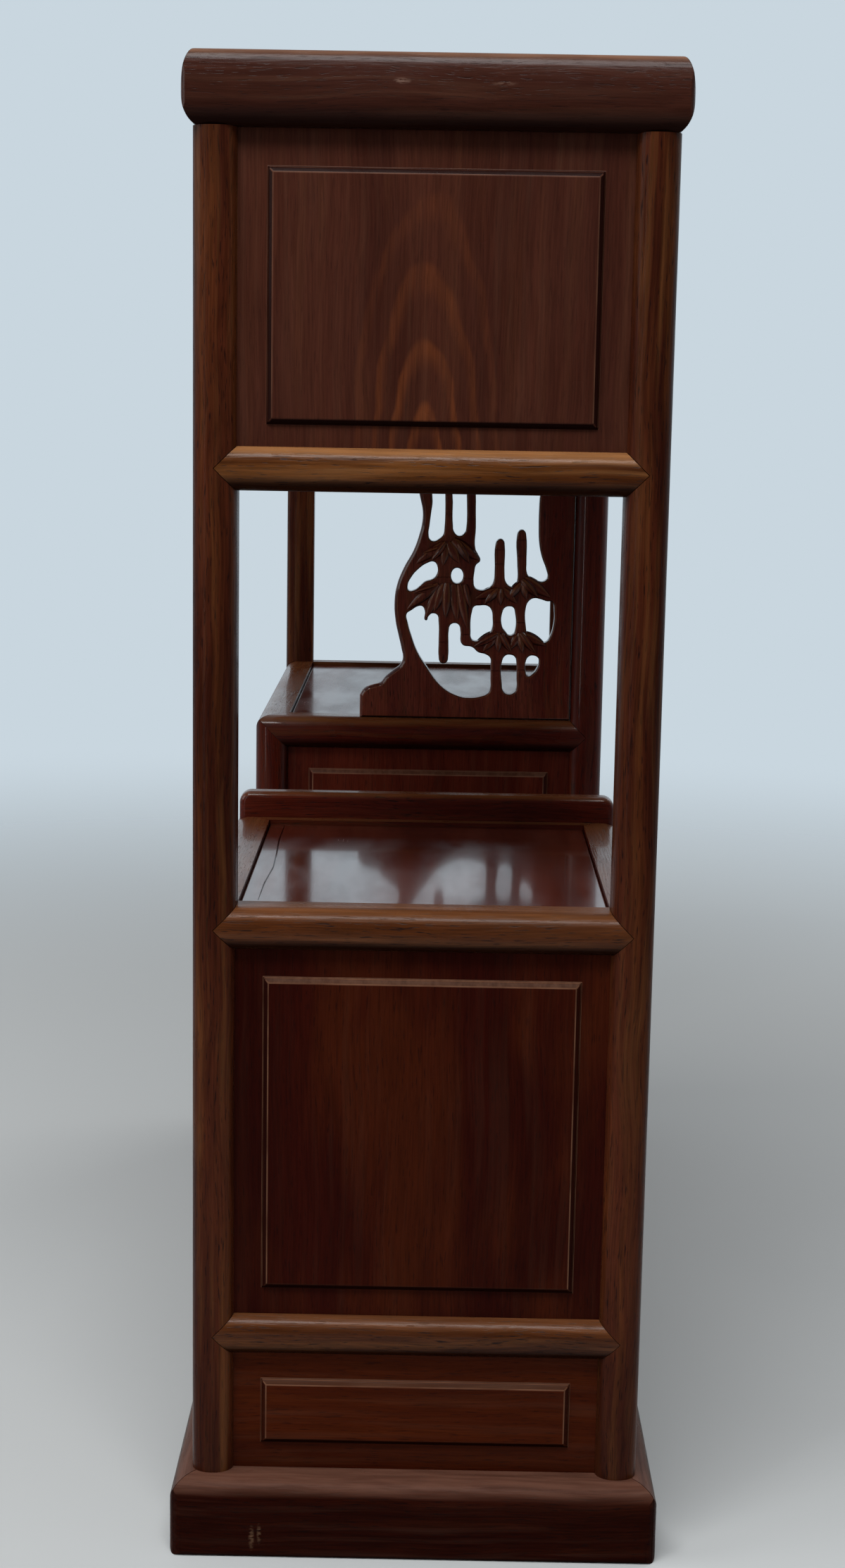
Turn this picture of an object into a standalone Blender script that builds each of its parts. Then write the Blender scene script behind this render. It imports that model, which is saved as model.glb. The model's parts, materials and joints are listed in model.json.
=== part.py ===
"""A hardwood display cabinet: framed ends, two cupboards below, one above and a pierced vase screen."""

import math

import bmesh
import bpy
from mathutils import Matrix, Vector

# Driving dimensions in metres: +X is the right-hand end, -Y the front, +Z up
LENGTH = 0.950  # over the posts, left to right
DEPTH = 0.300  # over the posts, front to back
HEIGHT = 0.976  # over all
MEMBER = 0.028  # width of every post and rail
PLINTH_HEIGHT = 0.054
PLINTH_WIDTH = 0.052
PLINTH_OVERHANG = 0.0135
TOP_THICKNESS = 0.045
TOP_WIDTH = 0.070
TOP_OVERHANG = 0.006
TOP_BULGE = 0.0075  # how far the rounded edge swells out at mid-height
TOP_PANEL_THICKNESS = 0.018
TOP_PANEL_RECESS = 0.0022  # below the top frame's upper face
PLINTH_ROUND = 0.016
BASE_BAY = 0.082  # clear height from the plinth to the lower rails
CUPBOARD_BAY = 0.250  # clear height of the right-hand cupboard
UPPER_BAY = 0.193  # clear height of the upper cupboard
BOX_RISE = 0.050  # how far the box's top stands above the cupboard's
CUPBOARD_LENGTH = 0.340
NICHE_LENGTH = 0.1835  # open space between the cupboard and the box
LIP_RISE = 0.020
LIP_THICKNESS = 0.018
PANEL_THICKNESS = 0.006
PANEL_BORDER = 0.0185  # flat margin round a raised field
PANEL_SETBACK = 0.010  # from the posts' outer faces to that margin
UPPER_FIELD_DROP = 0.0045  # how far the upper end panel's field sits below its middle
SHELF_THICKNESS = 0.008
SHELF_RECESS = 0.0035  # below the rails' tops
SHELF_REBATE = 0.003  # from a shelf's face down to the tongue round it
PARTITION_THICKNESS = 0.014
SCREEN_THICKNESS = 0.014
SCREEN_LENGTH = 0.182
STALK_SHARE = 0.7  # of the screen's thickness
LEAF_SHARE = 0.85
DOOR_THICKNESS = 0.018
DOOR_FRAME = 0.032
DOOR_SETBACK = 0.0028  # from the posts' axis in to the door's axis
KNOB_RADIUS = 0.0085
KNOB_LENGTH = 0.0075  # low enough to stay behind the posts' front faces
KNOB_DOME = 0.0030
KNOB_RIM = 0.0008
ROSE_RADIUS = 0.010
ROSE_THICKNESS = 0.0014
NECK_RADIUS = 0.0045

# Joinery
FIT = 0.0003  # gap between touching pieces
DOOR_GAP = 0.0012
TONGUE = 0.005  # how far a panel enters its frame
TENON = 0.010
TENON_OFFSET = 0.001  # from the member's axis to the tenon's near cheek
TENON_REACH = 0.007  # from the axis to its far cheek
PEG_HALF = 0.0055  # of the pegs on the corner posts
OVERLAY = 0.009  # depth of a rail's pointed end over its post
PIN_RADIUS = 0.003
PIN_LENGTH = 0.006
SQUARENESS = 2.5  # superellipse exponent of the rounded members
ARC_STEPS = 6

# Places worked out from the dimensions
HALF = MEMBER / 2
FAR = 3 * MEMBER  # reach of a cutter beyond its piece
POST_X = LENGTH / 2 - HALF
POST_Y = DEPTH / 2 - HALF
LOWER_Z = PLINTH_HEIGHT + BASE_BAY + HALF
SHELF_Z = LOWER_Z + MEMBER + CUPBOARD_BAY
BOX_Z = SHELF_Z + BOX_RISE
TOP_Z = HEIGHT - TOP_THICKNESS
UPPER_Z = TOP_Z - UPPER_BAY - HALF
CUPBOARD_X = LENGTH / 2 - CUPBOARD_LENGTH + HALF
BOX_X = CUPBOARD_X - MEMBER - NICHE_LENGTH
DOOR_Y = POST_Y - DOOR_SETBACK
PANEL_FACE = PANEL_SETBACK - HALF  # a panel margin's place inward from its members' axes
TURNS = {"front": 0, "right": math.pi / 2, "back": math.pi, "left": -math.pi / 2}

ROSEWOOD = (0.082, 0.024, 0.015)
DARK_WOOD = (0.060, 0.018, 0.012)
BRASS = (0.45, 0.30, 0.11)


# Scene and materials


def start_scene():
    for obj in list(bpy.data.objects):
        bpy.data.objects.remove(obj, do_unlink=True)
    made = []
    for name in ("display_cabinet", "cutters"):
        collection = bpy.data.collections.new(name)
        bpy.context.scene.collection.children.link(collection)
        made.append(collection)
    made[1].hide_render = True
    return made


CABINET, CUTTERS = start_scene()


def material(name, colour, roughness, metallic):
    made = bpy.data.materials.new(name)
    made.use_nodes = True
    shader = made.node_tree.nodes["Principled BSDF"]
    shader.inputs["Base Color"].default_value = (*colour, 1)
    shader.inputs["Roughness"].default_value = roughness
    shader.inputs["Metallic"].default_value = metallic
    return made


def part(name, mesh, frame=None, colour=ROSEWOOD, roughness=0.3, metallic=0.0):
    obj = bpy.data.objects.new(name, mesh)
    CABINET.objects.link(obj)
    obj.matrix_world = frame or Matrix()
    mesh.materials.append(material(name, colour, roughness, metallic))
    return obj


def cutter(name, mesh, frame=None):
    obj = bpy.data.objects.new(name, mesh)
    CUTTERS.objects.link(obj)
    obj.matrix_world = frame or Matrix()
    obj.hide_render = True
    obj.display_type = "WIRE"
    return obj


def boolean(obj, other, operation="DIFFERENCE"):
    modifier = obj.modifiers.new(operation.title(), "BOOLEAN")
    modifier.operation = operation
    modifier.object = other
    modifier.solver = "MANIFOLD"


# Basic shapes


def box_mesh(name, low, high):
    shape = bmesh.new()
    bmesh.ops.create_cube(shape, size=1)
    low, high = Vector(low), Vector(high)
    place = Matrix.Translation((low + high) / 2) @ Matrix.Diagonal((*(high - low), 1))
    bmesh.ops.transform(shape, matrix=place, verts=shape.verts)
    mesh = bpy.data.meshes.new(name)
    shape.to_mesh(mesh)
    shape.free()
    return mesh


def prism_mesh(name, outline, start, end, axes="xyz"):
    """An outline in the first two axes, extruded along the third from start to end."""
    curve = bpy.data.curves.new(name, "CURVE")
    curve.dimensions = "2D"
    curve.fill_mode = "BOTH"
    curve.extrude = (end - start) / 2
    spline = curve.splines.new("POLY")
    spline.points.add(len(outline) - 1)
    for point, (u, v) in zip(spline.points, outline):
        point.co = (u, v, 0, 1)
    spline.use_cyclic_u = True
    guide = cutter(name, curve)
    mesh = bpy.data.meshes.new_from_object(guide)
    bpy.data.objects.remove(guide)
    order = ["xyz".index(axis) for axis in axes]
    turn = Matrix([[float(order[column] == row) for column in range(3)] for row in range(3)]).to_4x4()
    place = turn @ Matrix.Translation((0, 0, (start + end) / 2))
    shape = bmesh.new()
    shape.from_mesh(mesh)
    bmesh.ops.remove_doubles(shape, verts=shape.verts, dist=1e-6)
    bmesh.ops.transform(shape, matrix=place, verts=shape.verts)
    bmesh.ops.recalc_face_normals(shape, faces=shape.faces)
    shape.to_mesh(mesh)
    shape.free()
    mesh.shade_smooth()
    mesh.set_sharp_from_angle(angle=math.radians(30))
    return mesh


def rounded_corner(centre, radii, turn, squareness=SQUARENESS):
    """A superellipse quarter that starts at the angle turn, as points."""
    points = []
    for step in range(ARC_STEPS + 1):
        angle = turn + math.pi / 2 * step / ARC_STEPS
        u, v = math.cos(angle), math.sin(angle)
        reach = (abs(u) ** squareness + abs(v) ** squareness) ** (-1 / squareness)
        points.append((centre[0] + radii[0] * u * reach, centre[1] + radii[1] * v * reach))
    return points


def member_section(square):
    """A post's or rail's section; square lists the quarters that keep their corner."""
    outline = []
    for quarter, (u, v) in enumerate(((1, 1), (-1, 1), (-1, -1), (1, -1))):
        if quarter in square:
            outline.append((u * HALF, v * HALF))
        else:
            outline += rounded_corner((0, 0), (HALF, HALF), quarter * math.pi / 2)
    tidy = []
    for point in outline:
        if not tidy or (Vector(point) - Vector(tidy[-1])).length > 1e-6:
            tidy.append(point)
    return tidy


# Posts and rails: a member lies along its local X, with its outer face towards local -Y


def rail_frame(side, offset, z):
    return Matrix.Rotation(TURNS[side], 4, "Z") @ Matrix.Translation((0, -offset, z))


def post_frame(side, offset, along):
    upright = Matrix(((0, 0, -1, 0), (0, 1, 0, 0), (1, 0, 0, 0), (0, 0, 0, 1)))
    return Matrix.Rotation(TURNS[side], 4, "Z") @ Matrix.Translation((along, -offset, 0)) @ upright


def pointed_end(obj, frame, at, way, tenon_side, into):
    """A pointed overlay and a tenon at one end of a member, and their seats in the crossing piece."""
    shoulder = at - way * (HALF + FIT)
    low, high = sorted((shoulder, at + way * FAR))
    step = box_mesh("shoulder", (low, OVERLAY - HALF, -FAR), (high, FAR, FAR))
    boolean(obj, cutter("shoulder", step, frame))
    cheek = sorted((tenon_side * TENON_OFFSET, tenon_side * TENON_REACH))
    seats = []
    for gap in (0, FIT):
        low, high = sorted((shoulder - way * TENON_REACH, shoulder + way * (TENON + gap)))
        corners = (
            (low, OVERLAY - HALF + FIT * 4 - gap, cheek[0] - gap),
            (high, TENON_REACH + gap, cheek[1] + gap),
        )
        seats.append(cutter("tenon", box_mesh("tenon", *corners), frame))
    boolean(obj, seats[0], "UNION")
    tip = at + way * FIT * math.sqrt(2)
    wide = HALF + FIT * 4
    base = tip - way * wide
    outline = [(tip, 0), (base, wide), (base, -wide)]
    notch = prism_mesh("notch", outline, -FAR, OVERLAY - HALF + FIT, axes="xzy")
    boolean(into, cutter("notch", notch, frame))
    boolean(into, seats[1])


def mitred_end(obj, frame, at, way):
    """A corner mitred in plan, where the member meets another at right angles."""
    edge = at - way * FIT / 2
    outline = [(edge + way * FAR, -FAR), (edge + way * 2 * FAR, -FAR)]
    outline += [(edge + way * 2 * FAR, FAR), (edge - way * FAR, FAR)]
    boolean(obj, cutter("mitre", prism_mesh("mitre", outline, -FAR, FAR), frame))


def envelope(obj, frame, ends):
    """Trims a member to its points in elevation."""
    wide = HALF + FIT * 4
    outline = []
    for at, way, kind in ends:
        if kind == "point":
            corners = [(at - way * wide, -way * wide), (at, 0), (at - way * wide, way * wide)]
        else:
            corners = [(at + way * FAR, -way * wide), (at + way * FAR, way * wide)]
        outline += corners
    trim = prism_mesh("envelope", outline, -FAR, FAR, axes="xzy")
    boolean(obj, cutter("envelope", trim, frame), "INTERSECT")


def member(name, frame, start, end, square, tenon_side, raised=0.0):
    """start and end are (place, kind, crossing piece); the place is the crossing piece's axis."""
    reach = {"point": HALF, "mitre": HALF, "butt": -HALF - FIT}
    low = start[0] - reach[start[1]]
    high = end[0] + reach[end[1]]
    mesh = prism_mesh(name, member_section(square), low, high, axes="yzx")
    obj = part(name, mesh, frame)
    if raised:
        corners = (low + HALF / 4, -HALF, 0), (high - HALF / 4, LIP_THICKNESS - HALF, HALF + raised)
        rounded = cutter("lip", box_mesh("lip", *corners), frame)
        soften = rounded.modifiers.new("Bevel", "BEVEL")
        soften.width = LIP_THICKNESS / 3
        soften.segments = 3
        boolean(obj, rounded, "UNION")
    ends = [(start[0], -1, start[1]), (end[0], 1, end[1])]
    if "point" in (start[1], end[1]):
        envelope(obj, frame, ends)
    for (at, way, kind), crossing in zip(ends, (start[2], end[2])):
        if kind == "point":
            pointed_end(obj, frame, at, way, tenon_side, crossing)
        elif kind == "mitre":
            mitred_end(obj, frame, at, way)
    return obj


def rail(name, side, offset, z, start, end, raised=0.0):
    """A horizontal member; start and end run along world X or Y."""
    tenon_side = -1 if side in ("front", "back") else 1
    if side in ("back", "left"):
        start, end = (-end[0], *end[1:]), (-start[0], *start[1:])
    return member(name, rail_frame(side, offset, z), start, end, (0, 3), tenon_side, raised)


def inner_post(name, side, along, start, end, niche):
    """An upright between rails; niche is the side, along X, of its second rounded face."""
    facing = -1 if side == "back" else 1
    square = (0,) if niche * facing > 0 else (3,)
    return member(name, post_frame(side, POST_Y, along * facing), start, end, square, 1)


def corner_post(name, x, y, square):
    mesh = prism_mesh(name, member_section((square,)), PLINTH_HEIGHT + FIT, TOP_Z - FIT)
    obj = part(name, mesh, Matrix.Translation((x, y, 0)))
    for low, high in ((PLINTH_HEIGHT - TENON, PLINTH_HEIGHT + TENON), (TOP_Z - TENON, TOP_Z + TENON)):
        peg = box_mesh("peg", (x - PEG_HALF, y - PEG_HALF, low), (x + PEG_HALF, y + PEG_HALF, high))
        boolean(obj, cutter("peg", peg), "UNION")
    return obj


def seat_pegs(obj, x, y, z):
    stub = PEG_HALF + FIT
    reach = TENON + FIT
    seat = box_mesh("peg_seat", (x - stub, y - stub, z - reach), (x + stub, y + stub, z + reach))
    boolean(obj, cutter("peg_seat", seat))


# Panels


def field_mesh(name, low, high, border, drop=0.0):
    """A slab facing local -Y with a raised field: a short step, then a bevelled edge."""
    mesh = box_mesh(name, low, high)
    shape = bmesh.new()
    shape.from_mesh(mesh)
    shape.normal_update()
    face = min(shape.faces, key=lambda each: each.normal.y)
    bmesh.ops.inset_region(shape, faces=[face], thickness=border, depth=0, use_even_offset=True)
    bmesh.ops.translate(shape, verts=face.verts, vec=(0, 0, -drop))
    step, bevel = PANEL_THICKNESS / 4, PANEL_THICKNESS / 3
    for inset, rise in ((step / 5, step), (1.5 * bevel, bevel)):
        bmesh.ops.inset_region(shape, faces=[face], thickness=inset, depth=rise, use_even_offset=True)
    shape.to_mesh(mesh)
    shape.free()
    return mesh


def groove(slab_low, slab_high, frame, members):
    gap = Vector((FIT, FIT, FIT))
    slot = box_mesh("groove", Vector(slab_low) - gap, Vector(slab_high) + gap)
    tool = cutter("groove", slot, frame)
    for each in members:
        boolean(each, tool)


def panel(name, side, offset, along, heights, members, tongues=(1, 1, 1, 1), drop=0.0):
    """A raised panel; along and heights are the clear opening, tongues say which edges enter a groove."""
    if side in ("back", "left"):
        along = (-along[1], -along[0])
        tongues = (tongues[1], tongues[0], *tongues[2:])
    grow = [TONGUE if tongue else -FIT for tongue in tongues]
    low = (along[0] - grow[0], PANEL_FACE, heights[0] - grow[2])
    high = (along[1] + grow[1], PANEL_FACE + PANEL_THICKNESS, heights[1] + grow[3])
    frame = rail_frame(side, offset, 0)
    obj = part(name, field_mesh(name, low, high, PANEL_BORDER + TONGUE, drop), frame)
    groove(low, high, frame, members)
    return obj


def shelf(name, x_range, y_range, top, members, thickness=SHELF_THICKNESS):
    """A floating panel: its tongue lies in the members' grooves, its face fills the opening."""
    low = (x_range[0] - TONGUE, y_range[0] - TONGUE, top - thickness)
    high = (x_range[1] + TONGUE, y_range[1] + TONGUE, top - SHELF_REBATE)
    groove(low, high, Matrix(), members)
    mesh = box_mesh(name, low, high)
    shape = bmesh.new()
    shape.from_mesh(mesh)
    shape.normal_update()
    face = max(shape.faces, key=lambda each: each.normal.z)
    for inset, rise in ((TONGUE + FIT, 0), (0, SHELF_REBATE)):
        bmesh.ops.inset_region(shape, faces=[face], thickness=inset, depth=rise, use_even_offset=True)
    shape.to_mesh(mesh)
    shape.free()
    return part(name, mesh, colour=DARK_WOOD, roughness=0.2)


# Mitred frames of the top and the plinth


def frame_board(name, side, section, reach, width):
    """One board of a mitred frame; reach is (half length, half depth) over the outer edges."""
    half_length, half_depth = reach if side in ("front", "back") else reach[::-1]
    frame = rail_frame(side, half_depth, 0)
    obj = part(name, prism_mesh(name, section, -half_length, half_length, axes="yzx"), frame)
    gap = FIT / 2
    inner = width + FAR
    outline = [(-half_length - FAR + gap, -FAR), (half_length + FAR - gap, -FAR)]
    outline += [(half_length - inner - gap, inner), (-half_length + inner + gap, inner)]
    trim = prism_mesh("corner", outline, -FAR, HEIGHT + FAR)
    boolean(obj, cutter("corner", trim, frame), "INTERSECT")
    return obj


def top_section():
    """A board with an elliptical outer edge; local Y runs inward from it."""
    centre = (TOP_BULGE, TOP_Z + TOP_THICKNESS / 2)
    radii = (TOP_BULGE, TOP_THICKNESS / 2)
    lower = rounded_corner(centre, radii, math.pi, squareness=2)
    upper = rounded_corner(centre, radii, math.pi / 2, squareness=2)
    return [(TOP_WIDTH, TOP_Z), *lower[:0:-1], *upper[::-1], (TOP_WIDTH, HEIGHT)]


def plinth_section():
    """A board with a rounded upper outer edge; local Y runs inward from it."""
    centre = (PLINTH_ROUND, PLINTH_HEIGHT - PLINTH_ROUND)
    upper = rounded_corner(centre, (PLINTH_ROUND, PLINTH_ROUND), math.pi / 2)
    return [(PLINTH_WIDTH, 0), (0, 0), *upper[::-1], (PLINTH_WIDTH, PLINTH_HEIGHT)]


# Doors


def pin_mesh(gap):
    """A pivot pin, centred on the door's edge; gap makes it the socket."""
    radius = PIN_RADIUS + gap
    depth = 2 * (PIN_LENGTH + DOOR_GAP + gap)
    shape = bmesh.new()
    bmesh.ops.create_cone(shape, cap_ends=True, segments=16, radius1=radius, radius2=radius, depth=depth)
    mesh = bpy.data.meshes.new("pin")
    shape.to_mesh(mesh)
    shape.free()
    return mesh


def door(name, opening, heights, hinge, rails):
    """A framed door between two uprights, turning on pins in its hinge edge; hinge is -1 or 1 along X."""
    radius = DOOR_THICKNESS / 2
    low, high = opening[0] + DOOR_GAP, opening[1] - DOOR_GAP
    bottom, top = heights[0] + DOOR_GAP, heights[1] - DOOR_GAP
    pivot = Vector((low + radius if hinge < 0 else high - radius, -DOOR_Y, 0))
    free = high if hinge < 0 else low
    width = abs(free - pivot.x)
    outline = [(width, -radius), (width, radius)]
    for step in range(2 * ARC_STEPS + 1):
        angle = math.pi / 2 + math.pi * step / (2 * ARC_STEPS)
        outline.append((radius * math.cos(angle), radius * math.sin(angle)))
    outline = [(-hinge * u, v) for u, v in outline]
    frame = Matrix.Translation(pivot)
    stile = DOOR_FRAME
    leaf = part(name + "_frame", prism_mesh(name, outline, bottom, top), frame)
    inner = sorted((-hinge * (stile - radius), -hinge * (width - stile)))
    clear = (inner[0], -FAR, bottom + stile), (inner[1], FAR, top - stile)
    boolean(leaf, cutter("door_light", box_mesh("door_light", *clear), frame))
    slab_low = (inner[0] - TONGUE, -PANEL_THICKNESS / 2, bottom + stile - TONGUE)
    slab_high = (inner[1] + TONGUE, PANEL_THICKNESS / 2, top - stile + TONGUE)
    groove(slab_low, slab_high, frame, [leaf])
    infill = part(name + "_panel", field_mesh(name, slab_low, slab_high, PANEL_BORDER / 2 + TONGUE), frame)
    for at, rail_piece in zip((bottom, top), rails):
        place = frame @ Matrix.Translation((0, 0, at))
        boolean(leaf, cutter("pin", pin_mesh(0), place), "UNION")
        boolean(rail_piece, cutter("socket", pin_mesh(FIT), place))
    knob_x = pivot.x - hinge * (width - stile / 2)
    pull = knob(name + "_knob", (knob_x, -DOOR_Y - radius - FIT, (bottom + top) / 2))
    for carried in (infill, pull):
        carried.parent = leaf
        carried.matrix_parent_inverse = frame.inverted()


def knob(name, place):
    """A low domed button on a rosette; its axis is local Z, turned to face the front."""
    profile = [(0, KNOB_LENGTH)]
    rim = KNOB_LENGTH - KNOB_DOME
    for step in range(1, ARC_STEPS + 1):
        angle = math.pi / 2 * step / ARC_STEPS
        profile.append((KNOB_RADIUS * math.sin(angle), rim + KNOB_DOME * math.cos(angle)))
    edge = ROSE_THICKNESS / 2
    profile += [(KNOB_RADIUS, rim - KNOB_RIM), (NECK_RADIUS, rim - 2 * KNOB_RIM)]
    profile += [(NECK_RADIUS, ROSE_THICKNESS + edge), (ROSE_RADIUS - edge, ROSE_THICKNESS)]
    profile += [(ROSE_RADIUS, edge), (ROSE_RADIUS, 0), (0, 0)]
    shape = bmesh.new()
    points = [shape.verts.new((u, 0, v)) for u, v in profile]
    for first, second in zip(points, points[1:]):
        shape.edges.new((first, second))
    mesh = bpy.data.meshes.new(name)
    shape.to_mesh(mesh)
    shape.free()
    facing = Matrix.Translation(place) @ Matrix.Rotation(math.pi / 2, 4, "X")
    obj = part(name, mesh, facing, BRASS, 0.35, 1.0)
    turned = obj.modifiers.new("Turned", "SCREW")
    turned.steps = 20
    turned.render_steps = 20
    turned.use_merge_vertices = True
    turned.merge_threshold = 0.00001
    return obj


# Vase screen: plates in the YZ plane, joined into one pierced board


def smooth(points, closed, steps=3):
    """A curve through the points."""
    count = len(points)
    path = []
    for index in range(count if closed else count - 1):
        near = [index + shift for shift in (-1, 0, 1, 2)]
        if closed:
            near = [each % count for each in near]
        else:
            near = [min(max(each, 0), count - 1) for each in near]
        a, b, c, d = (Vector(points[each]) for each in near)
        for step in range(steps):
            t = step / steps
            bend = (2 * a - 5 * b + 4 * c - d) * t**2 + (3 * b - a - 3 * c + d) * t**3
            path.append(tuple(b + ((c - a) * t + bend) / 2))
    return path


def screen(x, back, low, high):
    """The screen stands between the box and the upper shelf, against the box's back post."""
    half = SCREEN_THICKNESS / 2

    # Outlines are given as shares of the screen's length and height, from its front bottom corner
    def plate(name, outline, thickness):
        points = [(back - SCREEN_LENGTH * (1 - u), low + (high - low) * v) for u, v in outline]
        return prism_mesh(name, points, x - thickness, x + thickness, axes="yzx")

    # Outer edge: a stepped foot, the waist, the belly, the neck and the flared mouth, then the straight back
    foot = [(0, 0.060), (0.034, 0.093), (0.100, 0.116), (0.118, 0.142), (0.190, 0.177)]
    body = [(0.202, 0.222), (0.175, 0.334), (0.168, 0.430), (0.230, 0.566), (0.296, 0.700)]
    mouth = [(0.288, 0.800), (0.235, 0.900), (0.150, 0.985)]
    edge = [(0, 0), *smooth(foot + body + mouth, closed=False), (0.150, 1), (1, 1), (1, 0)]
    board = part("vase_screen", plate("vase_screen", edge, half), colour=DARK_WOOD)
    middle = 0.578
    profile = [(0.100, 0.054), (0.221, 0.123), (0.311, 0.248), (0.350, 0.370)]
    profile += [(0.315, 0.505), (0.258, 0.620), (0.258, 0.800), (0.150, 0.900)]
    right = [(middle + u, v) for u, v in profile]
    left = [(middle - u, v) for u, v in reversed(profile)]
    opening = plate("vase_opening", smooth(right + left, closed=True), 2 * half)
    boolean(board, cutter("vase_opening", opening))

    # Bamboo stalks: middle, half width, lower end, upper end
    stalks = [(0.425, 0.018, 0.62, 0.96), (0.402, 0.033, 0.46, 0.57), (0.398, 0.023, 0.18, 0.40)]
    stalks += [(0.530, 0.023, 0.52, 0.96), (0.520, 0.027, 0.44, 0.56), (0.497, 0.023, 0.24, 0.40)]
    stalks += [(0.657, 0.022, 0.03, 0.64), (0.765, 0.022, 0.03, 0.67)]
    inner = half * STALK_SHARE
    for u, wide, v0, v1 in stalks:
        corners = [(u - wide, v0), (u + wide, v0), (u + wide, v1), (u - wide, v1)]
        boolean(board, cutter("stalk", plate("stalk", corners, inner)), "UNION")

    # Four clumps of leaves tie the stalks together and to the rim
    upper_left = [(0.26, 0.52), (0.31, 0.60), (0.40, 0.64), (0.50, 0.65)]
    upper_left += [(0.56, 0.61), (0.57, 0.55), (0.46, 0.53), (0.34, 0.55)]
    lower_left = [(0.21, 0.41), (0.30, 0.48), (0.46, 0.47), (0.55, 0.46)]
    lower_left += [(0.54, 0.36), (0.45, 0.32), (0.37, 0.36), (0.31, 0.34)]
    upper_right = [(0.53, 0.43), (0.62, 0.46), (0.72, 0.45), (0.80, 0.50)]
    upper_right += [(0.93, 0.46), (0.93, 0.41), (0.77, 0.39), (0.55, 0.39)]
    lower_right = [(0.48, 0.24), (0.64, 0.30), (0.72, 0.28), (0.79, 0.29)]
    lower_right += [(0.91, 0.26), (0.88, 0.20), (0.78, 0.21), (0.60, 0.20)]
    for clump in (upper_left, lower_left, upper_right, lower_right):
        outline = smooth(clump, closed=True)
        boolean(board, cutter("leaves", plate("leaves", outline, half * LEAF_SHARE)), "UNION")


# The cabinet


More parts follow.
